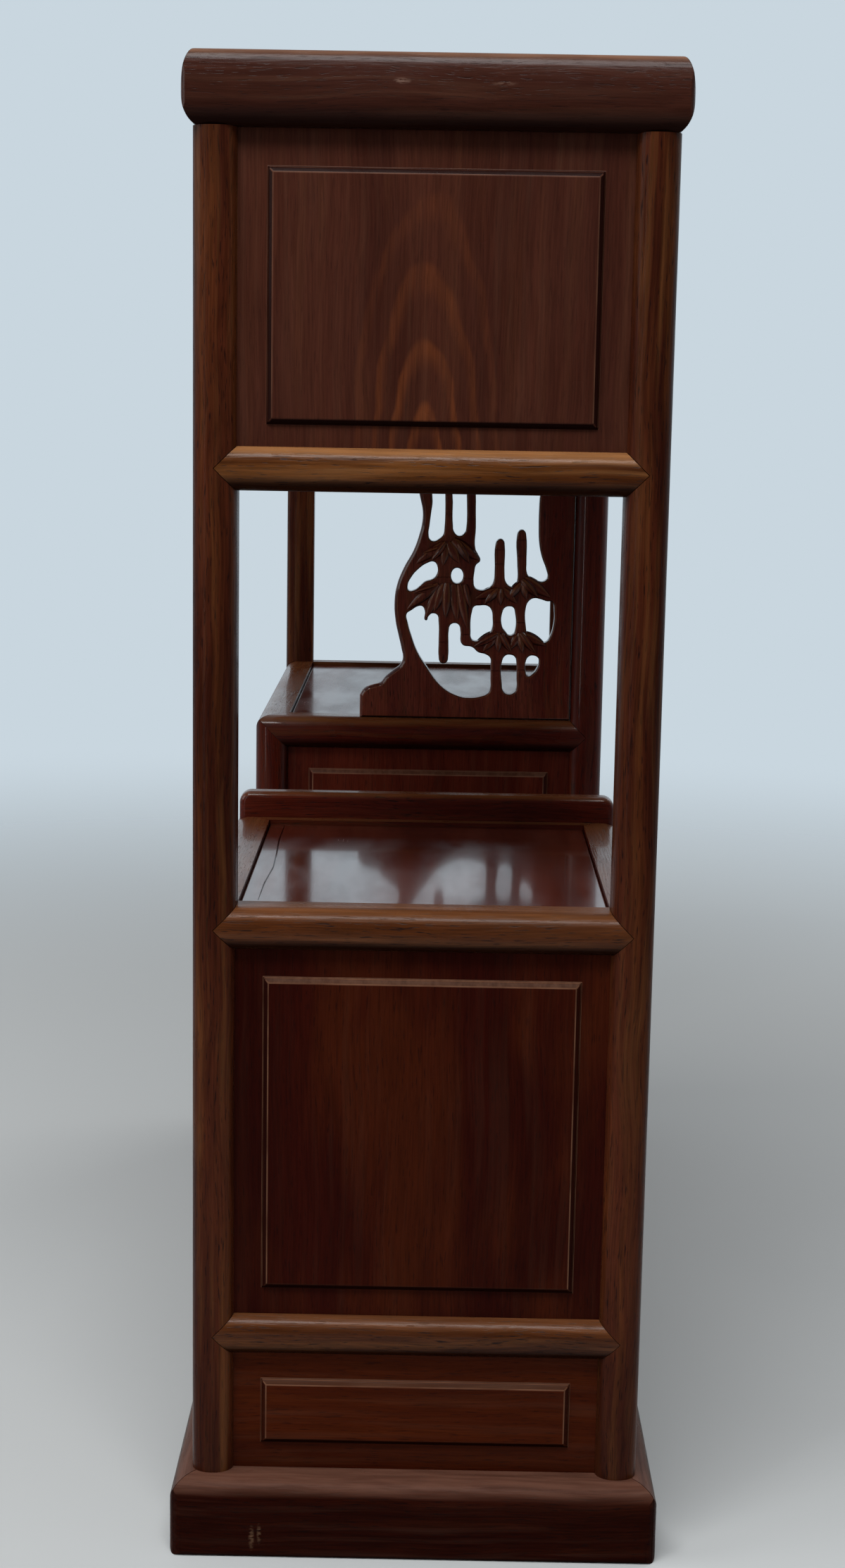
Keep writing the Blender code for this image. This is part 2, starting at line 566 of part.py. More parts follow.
def build():
    # Top and plinth
    top_reach = (LENGTH / 2 + TOP_OVERHANG, DEPTH / 2 + TOP_OVERHANG)
    plinth_reach = (LENGTH / 2 + PLINTH_OVERHANG, DEPTH / 2 + PLINTH_OVERHANG)
    kinds = {"front": "rail", "right": "end", "back": "rail", "left": "end"}
    top, plinth = {}, {}
    for side, kind in kinds.items():
        top[side] = frame_board(f"top_{side}_{kind}", side, top_section(), top_reach, TOP_WIDTH)
        plinth[side] = frame_board(f"plinth_{side}", side, plinth_section(), plinth_reach, PLINTH_WIDTH)
    panel_x, panel_y = top_reach[0] - TOP_WIDTH, top_reach[1] - TOP_WIDTH
    panel_top = HEIGHT - TOP_PANEL_RECESS
    spans = (-panel_x, panel_x), (-panel_y, panel_y)
    shelf("top_panel", *spans, panel_top, top.values(), TOP_PANEL_THICKNESS)

    # Corner posts, pegged into the top and the plinth
    posts = {}
    square_quarters = {("right", "front"): 1, ("right", "back"): 2, ("left", "back"): 3, ("left", "front"): 0}
    for (end, side), square in square_quarters.items():
        x = POST_X if end == "right" else -POST_X
        y = POST_Y if side == "back" else -POST_Y
        posts[end, side] = corner_post(f"post_{end}_{side}", x, y, square)
        for boards, z in ((top, TOP_Z), (plinth, PLINTH_HEIGHT)):
            seat_pegs(boards[end], x, y, z)
            seat_pegs(boards[side], x, y, z)
    right_posts = [posts["right", "front"], posts["right", "back"]]
    left_posts = [posts["left", "front"], posts["left", "back"]]

    # Rails of the two ends
    right, left = {}, {}
    for rails, end, levels in (
        (right, "right", {"lower": LOWER_Z, "shelf": SHELF_Z, "upper": UPPER_Z}),
        (left, "left", {"lower": LOWER_Z, "box": BOX_Z, "upper": UPPER_Z}),
    ):
        front = (-POST_Y, "point", posts[end, "front"])
        back = (POST_Y, "point", posts[end, "back"])
        for level, z in levels.items():
            rails[level] = rail(f"{end}_{level}_rail", end, POST_X, z, front, back)

    # Long rails, front and back
    lower, upper = {}, {}
    for side in ("front", "back"):
        ends = (-POST_X, "point", posts["left", side]), (POST_X, "point", posts["right", side])
        lower[side] = rail(f"{side}_lower_rail", side, POST_Y, LOWER_Z, *ends)
        upper[side] = rail(f"upper_{side}_rail", side, POST_Y, UPPER_Z, *ends)

    # Right-hand cupboard: inner posts, top rails and the end member with its upturned lip
    cupboard_posts, cupboard_rails = {}, {}
    for side in ("front", "back"):
        foot, head = (LOWER_Z, "point", lower[side]), (SHELF_Z, "butt", None)
        cupboard_posts[side] = inner_post(f"cupboard_{side}_post", side, CUPBOARD_X, foot, head, -1)
        ends = (CUPBOARD_X, "mitre", None), (POST_X, "point", posts["right", side])
        cupboard_rails[side] = rail(f"cupboard_{side}_rail", side, POST_Y, SHELF_Z, *ends)
    ends = (-POST_Y, "mitre", None), (POST_Y, "mitre", None)
    lip = rail("cupboard_lip_rail", "left", -CUPBOARD_X, SHELF_Z, *ends, LIP_RISE)

    # Box at the left: its back post runs up to the upper shelf, its front post stops under the top
    foot, head = (LOWER_Z, "point", lower["back"]), (UPPER_Z, "point", upper["back"])
    box_back = inner_post("box_back_post", "back", BOX_X, foot, head, 1)
    foot, head = (LOWER_Z, "point", lower["front"]), (BOX_Z, "butt", None)
    box_front = inner_post("box_front_post", "front", BOX_X, foot, head, 1)
    box_rails = {}
    ends = (-POST_X, "point", posts["left", "front"]), (BOX_X, "mitre", None)
    box_rails["front"] = rail("box_front_rail", "front", POST_Y, BOX_Z, *ends)
    ends = (-POST_X, "point", posts["left", "back"]), (BOX_X, "point", box_back)
    box_rails["back"] = rail("box_back_rail", "back", POST_Y, BOX_Z, *ends)
    ends = (-POST_Y, "mitre", None), (POST_Y, "point", box_back)
    box_rails["side"] = rail("box_side_rail", "right", BOX_X, BOX_Z, *ends)

    # Floors and shelves
    inside_x, inside_y = POST_X - HALF, POST_Y - HALF
    depth_span, full_span = (-inside_y, inside_y), (-inside_x, inside_x)
    cupboard_span = (CUPBOARD_X + HALF, inside_x)
    box_span = (-inside_x, BOX_X - HALF)
    level = HALF - SHELF_RECESS
    members = [*posts.values(), *lower.values(), right["lower"], left["lower"]]
    shelf("floor_panel", full_span, depth_span, LOWER_Z + level, members)
    members = [*posts.values(), *upper.values(), right["upper"], left["upper"]]
    shelf("upper_shelf_panel", full_span, depth_span, UPPER_Z + level, members)
    members = [*right_posts, *cupboard_rails.values(), right["shelf"], lip]
    shelf("cupboard_top_panel", cupboard_span, depth_span, SHELF_Z + level, members)
    members = [*left_posts, box_back, *box_rails.values(), left["box"]]
    shelf("box_top_panel", box_span, depth_span, BOX_Z + level, members)

    # Raised panels of the ends and the base
    base_bay = (PLINTH_HEIGHT, LOWER_Z - HALF)
    cupboard_bay = (LOWER_Z + HALF, SHELF_Z - HALF)
    box_bay = (LOWER_Z + HALF, BOX_Z - HALF)
    upper_bay = (UPPER_Z + HALF, TOP_Z)
    members = [*right_posts, right["upper"], top["right"]]
    panel("right_upper_panel", "right", POST_X, depth_span, upper_bay, members, drop=UPPER_FIELD_DROP)
    members = [*right_posts, right["lower"], right["shelf"]]
    panel("right_lower_panel", "right", POST_X, depth_span, cupboard_bay, members)
    members = [*right_posts, right["lower"], plinth["right"]]
    panel("right_base_panel", "right", POST_X, depth_span, base_bay, members)
    members = [*left_posts, left["lower"], left["box"]]
    panel("left_lower_panel", "left", POST_X, depth_span, box_bay, members)
    members = [*left_posts, left["lower"], plinth["left"]]
    panel("left_base_panel", "left", POST_X, depth_span, base_bay, members)
    for side in ("front", "back"):
        members = [posts["left", side], posts["right", side], lower[side], plinth[side]]
        panel(f"{side}_apron", side, POST_Y, full_span, base_bay, members)

    # Side panels stand on the floor panel, housed in the lower rails at their foot
    standing = (1, 1, 0, 1)
    members = [box_front, box_back, box_rails["side"], *lower.values()]
    heights = (LOWER_Z + level, BOX_Z - HALF)
    panel("box_side_panel", "right", BOX_X, depth_span, heights, members, standing)
    members = [*cupboard_posts.values(), lip, *lower.values()]
    heights = (LOWER_Z + level, SHELF_Z - HALF)
    panel("cupboard_side_panel", "left", -CUPBOARD_X, depth_span, heights, members, standing)

    # Backs
    members = [cupboard_posts["back"], posts["right", "back"], lower["back"], cupboard_rails["back"]]
    panel("cupboard_back_panel", "back", POST_Y, cupboard_span, cupboard_bay, members)
    members = [box_back, posts["left", "back"], lower["back"], box_rails["back"]]
    panel("box_back_panel", "back", POST_Y, box_span, box_bay, members)

    # Upper cupboard: a partition notched over the rails, and a back that butts against it
    wall = (CUPBOARD_X - HALF, CUPBOARD_X - HALF + PARTITION_THICKNESS)
    shelf_top = UPPER_Z + level + FIT
    rail_top = UPPER_Z + HALF + FIT
    face = DOOR_Y + DOOR_THICKNESS / 2
    inner = inside_y - FIT
    outline = [(-inner, shelf_top), (inner, shelf_top), (inner, rail_top), (face, rail_top)]
    outline += [(face, TOP_Z - FIT), (-face, TOP_Z - FIT), (-face, rail_top), (-inner, rail_top)]
    part("upper_partition", prism_mesh("upper_partition", outline, *wall, axes="yzx"))
    upper_span = (wall[1], inside_x)
    members = [posts["right", "back"], upper["back"], top["back"]]
    panel("upper_back_panel", "back", POST_Y, upper_span, upper_bay, members, (0, 1, 1, 1))

    screen(BOX_X, inside_y - FIT, BOX_Z + HALF + FIT, UPPER_Z + level - SHELF_THICKNESS - FIT)

    door("upper_door", upper_span, upper_bay, -1, (upper["front"], top["front"]))
    door("cupboard_door", cupboard_span, cupboard_bay, 1, (lower["front"], cupboard_rails["front"]))
    door("box_door", box_span, box_bay, -1, (lower["front"], box_rails["front"]))


build()
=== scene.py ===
import json
import math
import bmesh
import bpy
from mathutils import Matrix, Vector


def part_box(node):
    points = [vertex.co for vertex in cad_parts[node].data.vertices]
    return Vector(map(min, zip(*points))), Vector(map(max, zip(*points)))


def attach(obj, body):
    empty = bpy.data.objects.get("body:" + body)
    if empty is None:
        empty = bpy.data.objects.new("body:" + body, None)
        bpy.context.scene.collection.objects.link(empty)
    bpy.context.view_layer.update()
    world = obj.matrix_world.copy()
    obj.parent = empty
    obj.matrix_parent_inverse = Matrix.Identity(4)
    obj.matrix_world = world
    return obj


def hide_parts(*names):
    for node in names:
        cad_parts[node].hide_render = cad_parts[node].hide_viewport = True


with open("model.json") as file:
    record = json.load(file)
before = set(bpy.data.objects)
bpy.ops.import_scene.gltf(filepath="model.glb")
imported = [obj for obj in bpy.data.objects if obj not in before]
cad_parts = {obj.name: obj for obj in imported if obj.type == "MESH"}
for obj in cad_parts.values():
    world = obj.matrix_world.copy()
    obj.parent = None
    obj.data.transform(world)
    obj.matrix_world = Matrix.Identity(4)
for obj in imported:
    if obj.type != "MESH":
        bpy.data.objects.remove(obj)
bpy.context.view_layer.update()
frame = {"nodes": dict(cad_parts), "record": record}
scene = bpy.context.scene
scene.view_settings.view_transform = "Standard"
axisOf = {"x": Vector((1, 0, 0)), "y": Vector((0, 1, 0)), "z": Vector((0, 0, 1))}
bodyOf = {node: body for body, members in frame["record"]["behaviour"]["bodies"].items() for node in members}
# margins for telling edges apart and for merging points, in metres
milli, speck, tiny = 0.001, 0.00001, 1e-6


# camera, at the photograph's place: it looks along the cabinet at its right-hand end
view = {
    "place": (1.9278, 0.0048, 0.7805), "yaw": -0.2716, "pitch": 9.9065, "roll": 0.9997,
    "lens": 53.11, "sensor": 36, "nearest": 0.05,
}
yaw, pitch, roll = (math.radians(view[key]) for key in ("yaw", "pitch", "roll"))
ahead = Vector((-math.cos(pitch) * math.cos(yaw), math.cos(pitch) * math.sin(yaw), -math.sin(pitch)))
right = ahead.cross(axisOf["z"]).normalized()
up = right.cross(ahead)
right, up = math.cos(roll) * right + math.sin(roll) * up, math.cos(roll) * up - math.sin(roll) * right
bpy.ops.object.camera_add()
camera = bpy.context.object
camera.matrix_world = Matrix.Translation(view["place"]) @ Matrix((right, up, -ahead)).transposed().to_4x4()
camera.data.sensor_width = view["sensor"]
camera.data.lens = view["lens"]
camera.data.clip_start = view["nearest"]
scene.camera = camera
print("camera placed")


def srgb(code):
    parts = [int(code[i : i + 2], 16) / 255 for i in (1, 3, 5)]
    return [c / 12.92 if c <= 0.04045 else ((c + 0.055) / 1.055) ** 2.4 for c in parts] + [1]


def addNode(tree, kind, inputs=(), out=0, **settings):
    # a new node with its inputs, by name or in order, set or linked; gives back one of its outputs
    node = tree.nodes.new("ShaderNode" + kind)
    for key, value in settings.items():
        setattr(node, key, value)
    for key, value in inputs.items() if isinstance(inputs, dict) else enumerate(inputs):
        if isinstance(value, bpy.types.NodeSocket):
            tree.links.new(value, node.inputs[key])
        else:
            node.inputs[key].default_value = value
    return node.outputs[out]


def onlySelect(*pieces):
    # the first piece becomes the active one
    bpy.ops.object.select_all(action="DESELECT")
    for piece in pieces:
        piece.select_set(True)
    bpy.context.view_layer.objects.active = pieces[0]


def editAll(piece):
    # edit mode, with everything selected
    onlySelect(piece)
    bpy.ops.object.mode_set(mode="EDIT")
    bpy.ops.mesh.select_all(action="SELECT")


def leaveEdit():
    bpy.ops.object.mode_set(mode="OBJECT")


def turnOutward():
    bpy.ops.mesh.select_all(action="SELECT")
    bpy.ops.mesh.normals_make_consistent(inside=False)
    leaveEdit()


def applyPlace():
    bpy.ops.object.transform_apply(location=True, rotation=True, scale=True)


def cubeAt(name, low, high):
    low, high = Vector(low), Vector(high)
    bpy.ops.mesh.primitive_cube_add(size=1, location=(low + high) / 2)
    piece = bpy.context.object
    piece.name = name
    piece.scale = high - low
    applyPlace()
    return piece


def pickEdges(piece, wanted):
    # edit mode, with only the wanted edges selected
    editAll(piece)
    bpy.ops.mesh.select_mode(type="EDGE")
    bpy.ops.mesh.select_all(action="DESELECT")
    shape = bmesh.from_edit_mesh(piece.data)
    for edge in shape.edges:
        edge.select = wanted((edge.verts[0].co + edge.verts[1].co) / 2, edge.verts[1].co - edge.verts[0].co)
    shape.select_flush_mode()
    bmesh.update_edit_mesh(piece.data)


def roundEdges(piece, wanted, size, segments, profile=0.5):
    pickEdges(piece, wanted)
    bpy.ops.mesh.bevel(offset=size, segments=segments, profile=profile, affect="EDGES", clamp_overlap=False)
    leaveEdit()


def cutOff(piece, point, outward):
    editAll(piece)
    bpy.ops.mesh.bisect(plane_co=point, plane_no=outward, use_fill=True, clear_outer=True)
    leaveEdit()


def combine(piece, tool, operation, keep=False):
    onlySelect(piece)
    cut = piece.modifiers.new("cut", "BOOLEAN")
    cut.object = tool
    cut.operation = operation
    cut.solver = "EXACT"
    bpy.ops.object.modifier_apply(modifier=cut.name)
    if not keep:
        bpy.data.objects.remove(tool)


def smoothOver(piece, angle=30):
    # wide faces keep their own direction, so only the rounded edges shade softly
    onlySelect(piece)
    bpy.ops.object.shade_smooth_by_angle(angle=math.radians(angle))
    weigh = piece.modifiers.new("weigh", "WEIGHTED_NORMAL")
    weigh.keep_sharp = True
    bpy.ops.object.modifier_apply(modifier=weigh.name)


def flatCurve(name, half):
    curve = bpy.data.curves.new(name, "CURVE")
    curve.dimensions = "2D"
    curve.fill_mode = "BOTH"
    curve.extrude = half
    return curve


def solidFrom(curve):
    # a flat curve's filled and thickened outline as a closed mesh
    piece = bpy.data.objects.new(curve.name, curve)
    scene.collection.objects.link(piece)
    onlySelect(piece)
    bpy.ops.object.convert(target="MESH")
    piece = bpy.context.object
    editAll(piece)
    bpy.ops.mesh.remove_doubles(threshold=speck)
    turnOutward()
    return piece


def place(piece, slotName, body, *nodes):
    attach(piece, body)
    if nodes:
        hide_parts(*nodes)


def hand(piece, finish, slotName, body, *nodes):
    # material, body and the CAD solid that the piece stands for
    piece.data.materials.clear()
    piece.data.materials.append(finish)
    place(piece, slotName, body, *nodes)


# rosewood, stained red-brown and rubbed with shellac: long streaks of darker and lighter heartwood,
# short open pores, a soft gloss, golden bare wood where hands have worn it, dark wax and painted shade beside raised
# edges, painted highlights on arrises and upper sides, painted shade on undersides

# marks in the wood: metres across and along the grain, detail, the span of the noise, and what it becomes;
# fibre and pores are drawn about three times as coarse as real ones so that they show
marks = {
    "broad": (0.034, 0.36, 4, 0.34, 0.66), "bands": (0.0095, 0.24, 4, 0.46, 0.74),
    "glow": (0.055, 0.19, 3, 0.45, 0.68), "flame": (0.005, 0.07, 3, 0.25, 0.7, 0.2, 0.75),
    "fibre": (0.0012, 0.040, 3, 0.25, 0.75), "pores": (0.0009, 0.011, 1, 0.60, 0.72),
    "rubbed": (0.006, 0.22, 4, 0.45, 0.70), "handled": (0.06, 0.20, 2, 0.35, 0.62, 0.3, 1),
    "knockedAndLitEdges": (0.03, 0.03, 2, 0.3, 0.6, 0.45, 1), "paintedTopLight": (0.004, 0.06, 3, 0.3, 0.7, 0.55, 1),
    "scuffed": (0.0012, 0.004, 2, 0.35, 0.6), "polish": (0.030, 0.09, 3, 0.3, 0.7),
}
# sway of the grain, colours of the pores, of the wax and painted shade on slopes and of the painted shade on
# undersides, height of the relief, gloss, how dark the painted shade on undersides is
woodRule = {
    "sway": 0.010, "swayScale": 9, "pores": "#150706", "waxAndSlopeShade": "#1c0805", "under": "#140503", "relief": 0.0004,
    "refraction": 1.5, "coatRough": 0.07, "patchy": (-0.06, 0.08), "poreRough": 0.2, "scuffed": (1, 0.1),
    "shade": 0.85,
}
# which way a face looks: spans of its upward part, then of its largest part, 1 on flat faces, 0.7 on slopes
facets = {
    "under": (-0.05, -0.65), "upright": (-0.25, 0, 0.1, 1), "slope": (0.90, 0.85), "rounded": (0.998, 0.965),
    "falling": (0.86, 0.90),
}


def rosewood(name, look):
    finish = bpy.data.materials.new(name)
    finish.use_nodes = True
    tree = finish.node_tree
    shader = tree.nodes["Principled BSDF"]
    soft = {"interpolation_type": "SMOOTHSTEP"}
    tint = {"data_type": "RGBA", "out": 2}
    times = {"operation": "MULTIPLY"}
    half = (0.5, 0.5, 0.5)
    here = addNode(tree, "TexCoord", out="Object")
    sway = addNode(tree, "TexNoise", {"Vector": here, "Scale": woodRule["swayScale"], "Detail": 1}, out="Color")
    sway = addNode(tree, "VectorMath", (sway, half), operation="SUBTRACT")
    sway = addNode(tree, "VectorMath", {0: sway, "Scale": woodRule["sway"]}, operation="SCALE")
    spot = addNode(tree, "VectorMath", (here, sway))

    def streaks(kind, *ends):
        # noise drawn out along the grain
        across, along, detail, *span = marks[kind]
        sizes = [1 / across] * 3
        sizes["xyz".index(look["grain"])] = 1 / along
        drawn = addNode(tree, "Mapping", {"Vector": spot, "Scale": sizes})
        noise = addNode(tree, "TexNoise", {"Vector": drawn, "Scale": 1, "Detail": detail})
        return addNode(tree, "MapRange", (noise, *span, *ends), **soft)

    # heartwood bands about 35 mm and 10 mm wide
    dark, mid, light = (srgb(code) for code in look["tones"])
    colour = addNode(tree, "Mix", {0: streaks("broad"), 6: dark, 7: mid}, **tint)
    bands = streaks("bands", 0, look["bands"])
    colour = addNode(tree, "Mix", {0: bands, 6: colour, 7: light}, **tint)

    # a broad warm glow where the grain turns towards the face
    if "glow" in look:
        glow = streaks("glow", 0, look["glow"])
        colour = addNode(tree, "Mix", {0: glow, 6: colour, 7: srgb(look["warm"])}, **tint)

    # flame figure: growth rings cut through flat, nested arches that fade upwards and outwards
    if "flame" in look:
        flame = look["flame"]
        wander = addNode(tree, "TexNoise", {"Vector": here, "Scale": flame["wanderScale"], "Detail": 2}, out="Color")
        wander = addNode(tree, "VectorMath", (wander, half), operation="SUBTRACT")
        wander = addNode(tree, "VectorMath", (wander, flame["wander"], spot), operation="MULTIPLY_ADD")
        fromFoot = addNode(tree, "VectorMath", (wander, flame["foot"]), operation="SUBTRACT")
        fromFoot = addNode(tree, "VectorMath", (fromFoot, flame["squeeze"]), **times)
        ring = addNode(tree, "VectorMath", (fromFoot,), out="Value", operation="LENGTH")
        saw = addNode(tree, "Math", (ring, flame["spacing"]), operation="DIVIDE")
        saw = addNode(tree, "Math", (saw,), operation="FRACT")
        arches = addNode(tree, "MapRange", (saw, *flame["rise"]), **soft)
        fall = addNode(tree, "MapRange", (saw, *flame["fall"], 1, 0), **soft)
        near = addNode(tree, "MapRange", (ring, *flame["reach"], 0, 1))
        for share in (fall, near, streaks("flame")):
            arches = addNode(tree, "Math", (arches, share), **times)
        colour = addNode(tree, "Mix", {0: arches, 6: colour, 7: srgb(flame["colour"])}, **tint)

    fibre = streaks("fibre", *look["fibre"])
    colour = addNode(tree, "VectorMath", {0: colour, "Scale": fibre}, operation="SCALE")
    pores = streaks("pores", 0, look["pores"])
    colour = addNode(tree, "Mix", {0: pores, 6: colour, 7: srgb(woodRule["pores"])}, **tint)

    # bare golden wood in long rubbed patches
    rubbed = streaks("rubbed")
    for share in (look["wear"], streaks("handled")):
        rubbed = addNode(tree, "Math", (rubbed, share), **times)
    colour = addNode(tree, "Mix", {0: rubbed, 6: colour, 7: srgb(look["wearAndHighlight"])}, **tint)

    # beside a raised field and on the carving: sloping sides are darkened, by wax and by painted shade; the arrises
    # above and below them are lightened, by rubbed wear and by painted highlight
    facing = addNode(tree, "TexCoord", out="Normal")
    upper = addNode(tree, "SeparateXYZ", (facing,), out=2)
    if "arris" in look:
        facing = addNode(tree, "VectorMath", (facing,), operation="ABSOLUTE")
        sides = [addNode(tree, "SeparateXYZ", (facing,), out=axis) for axis in range(3)]
        flat = addNode(tree, "Math", (sides[0], sides[1]), operation="MAXIMUM")
        flat = addNode(tree, "Math", (flat, sides[2]), operation="MAXIMUM")
        slope = addNode(tree, "MapRange", (flat, *facets["slope"], 0, look["waxAndSlopeShade"]), **soft)
        colour = addNode(tree, "Mix", {0: slope, 6: colour, 7: srgb(woodRule["waxAndSlopeShade"])}, **tint)
        bright = addNode(tree, "MapRange", (flat, *facets["rounded"]), **soft)
        falling = addNode(tree, "MapRange", (flat, *facets["falling"]), **soft)
        # painted highlight: mostly left off faces turned downwards
        upright = addNode(tree, "MapRange", (upper, *facets["upright"]))
        for share in (falling, upright, look["arris"], streaks("knockedAndLitEdges")):
            bright = addNode(tree, "Math", (bright, share), **times)
        colour = addNode(tree, "Mix", {0: bright, 6: colour, 7: srgb(look["wearAndHighlight"])}, **tint)

    # painted highlight: upper sides of rails and boards are made paler, in streaks, where light from above falls on
    # them; painted shade: undersides are made dark and dull
    if "paintedTopLight" in look:
        low, high, strength = look["paintedTopLight"]
        # painted highlight: the wear-and-highlight colour laid on faces turned upwards
        pale = addNode(tree, "MapRange", (upper, low, high, 0, strength), **soft)
        pale = addNode(tree, "Math", (pale, streaks("paintedTopLight")), **times)
        colour = addNode(tree, "Mix", {0: pale, 6: colour, 7: srgb(look["wearAndHighlight"])}, **tint)
    # painted shade: faces turned downwards darken towards a near-black brown
    under = addNode(tree, "MapRange", (upper, *facets["under"], 0, woodRule["shade"]), **soft)
    colour = addNode(tree, "Mix", {0: under, 6: colour, 7: srgb(woodRule["under"])}, **tint)

    for middle, size, strength, code in look.get("scuffs", []):
        gap = addNode(tree, "VectorMath", (spot, middle), operation="SUBTRACT")
        gap = addNode(tree, "VectorMath", (gap, [1 / reach for reach in size]), **times)
        gap = addNode(tree, "VectorMath", (gap,), out="Value", operation="LENGTH")
        mask = addNode(tree, "MapRange", (gap, *woodRule["scuffed"], 0, strength))
        mask = addNode(tree, "Math", (mask, streaks("scuffed")), **times)
        colour = addNode(tree, "Mix", {0: mask, 6: colour, 7: srgb(code)}, **tint)
    tree.links.new(colour, shader.inputs["Base Color"])

    # hand-rubbed gloss, so it varies in soft patches; pores are duller, and undersides under the painted shade
    # hardly shine
    rough = streaks("polish", *(look["rough"] + step for step in woodRule["patchy"]))
    rough = addNode(tree, "Math", (pores, woodRule["poreRough"], rough), operation="MULTIPLY_ADD")
    tree.links.new(rough, shader.inputs["Roughness"])
    height = addNode(tree, "Math", (fibre, pores), operation="SUBTRACT")
    grain = addNode(tree, "Bump", {"Strength": look["bump"], "Distance": woodRule["relief"], "Height": height})
    tree.links.new(grain, shader.inputs["Normal"])
    shade = woodRule["shade"]
    for key, value in (("Specular IOR Level", look["gloss"]), ("Coat Weight", look["coat"])):
        kept = addNode(tree, "MapRange", (under, 0, shade, value, value * (1 - shade)))
        tree.links.new(kept, shader.inputs[key])
    shader.inputs["IOR"].default_value = woodRule["refraction"]
    shader.inputs["Coat Roughness"].default_value = woodRule["coatRough"]
    return finish


# what all bars share, then what differs from one kind to the next
frameLook = {
    "wearAndHighlight": "#865831", "bands": 0.38, "wear": 0.28, "fibre": (0.70, 1.24), "pores": 0.8, "rough": 0.27,
    "bump": 0.35, "gloss": 0.09,
}
plainTones = {
    "tones": ("#2f120a", "#472011", "#633819"), "wear": 0.20, "bands": 0.32, "gloss": 0.05,
    "coat": 0.02, "paintedTopLight": (0.3, 0.9, 0.3),
}
innerTones = {
    "tones": ("#390f08", "#4b180e", "#5e2617"), "wear": 0.1, "bands": 0.3, "gloss": 0.12,
    "coat": 0.3, "paintedTopLight": (0.2, 0.8, 0.4),
}
goldenTones = {
    "tones": ("#371909", "#4e2811", "#6b4220"), "wearAndHighlight": "#9c6540", "pores": 0.9, "gloss": 0.12,
    "coat": 0.06, "paintedTopLight": (0.2, 0.75, 0.26),
}
# a lighter copy of the golden tones for the upper end rail, partly painted light where that rail catches more light
honeyTones = {
    **goldenTones, "tones": ("#3d1c0a", "#573013", "#774a23"), "wearAndHighlight": "#bd8453",
    "paintedTopLight": (0.35, 0.85, 0.46),
}
topTones = {
    "tones": ("#331912", "#3b1e16", "#48281b"), "wearAndHighlight": "#926a52", "wear": 0.08, "bands": 0.2,
    "fibre": (0.82, 1.16), "pores": 0.5, "coat": 0.08, "paintedTopLight": (0.35, 0.7, 0.55),
}
# scuffs: middle, reach each way, strength, colour
topScuffs = [
    ((0.481, -0.0213, 0.957), (0.01, 0.006, 0.0022), 0.5, "#96796a"),
    ((0.481, 0.0385, 0.958), (0.01, 0.009, 0.0016), 0.3, "#8c7060"),
]
plinthTones = {
    "tones": ("#210703", "#2b0d06", "#3d1a0c"), "wearAndHighlight": "#7d5646", "wear": 0.08, "bands": 0.25,
    "gloss": 0.02, "coat": 0.0, "paintedTopLight": (0.2, 0.85, 0.6),
}
plinthScuffs = [
    ((0.4885, -0.1084, 0.016), (0.01, 0.0022, 0.010), 0.5, "#8a6a52"),
    ((0.4885, -0.1032, 0.019), (0.01, 0.0018, 0.008), 0.45, "#8a6a52"),
]
# the carving takes painted shade on its slopes and painted highlights on its arrises, to bring out the relief
carvedTones = {
    "tones": ("#4e1c14", "#602a1e", "#703927"), "wear": 0.1, "arris": 0.4, "waxAndSlopeShade": 0.45, "coat": 0.4,
}

# the same for boards and panels
panelLook = {
    "tones": ("#36120a", "#44190f", "#542415"), "wearAndHighlight": "#86604a", "bands": 0.25, "wear": 0.06,
    "arris": 0.55, "waxAndSlopeShade": 0.6, "fibre": (0.82, 1.16), "pores": 0.5, "rough": 0.30, "bump": 0.20, "gloss": 0.06,
    "coat": 0.0,
}
# rings about 35 mm high and 13 mm wide, centred on the foot of the upper field
flameFigure = {
    "foot": (0, -0.004, 0.725), "squeeze": (0, 55, 15.4), "spacing": 0.66, "reach": (3.2, 0.5),
    "rise": (0.40, 0.80), "fall": (0.84, 1),
    "wander": (0, 0.012, 0.03), "wanderScale": 22, "colour": "#6c381d",
}
# the upper field's sloping sides are darkened strongly, by wax and by painted shade
upperTones = {
    "tones": ("#3a1c14", "#442319", "#52301f"), "arris": 0.25, "waxAndSlopeShade": 0.95, "pores": 0.25,
    "flame": flameFigure,
}
# the box's side board is lighter and redder than the other boards, partly painted light to offset the shade it
# stands in
boxTones = {"tones": ("#42150d", "#501d12", "#602818"), "paintedTopLight": (0.25, 0.5, 0.35)}
# the lower board is darker than the others, partly painted shade standing for the dimmer light low down
lowerTones = {
    "tones": ("#280905", "#2e0b06", "#3a130a"), "bands": 0.12, "wear": 0.03, "gloss": 0.02,
    "glow": 0.34, "warm": "#52240f", "paintedTopLight": (0.25, 0.5, 0.35),
}
baseTones = {"tones": ("#381205", "#421706", "#54250c"), "gloss": 0.03, "paintedTopLight": (0.25, 0.5, 0.3)}
shelfTones = {
    "tones": ("#45190f", "#572619", "#6a3424"), "wear": 0.0, "arris": 0.3, "waxAndSlopeShade": 0.5, "pores": 0.12,
    "bump": 0.03, "rough": 0.17, "gloss": 0.5, "coat": 0.66,
}
dullTones = {**shelfTones, "rough": 0.2, "gloss": 0.3, "coat": 0.22}

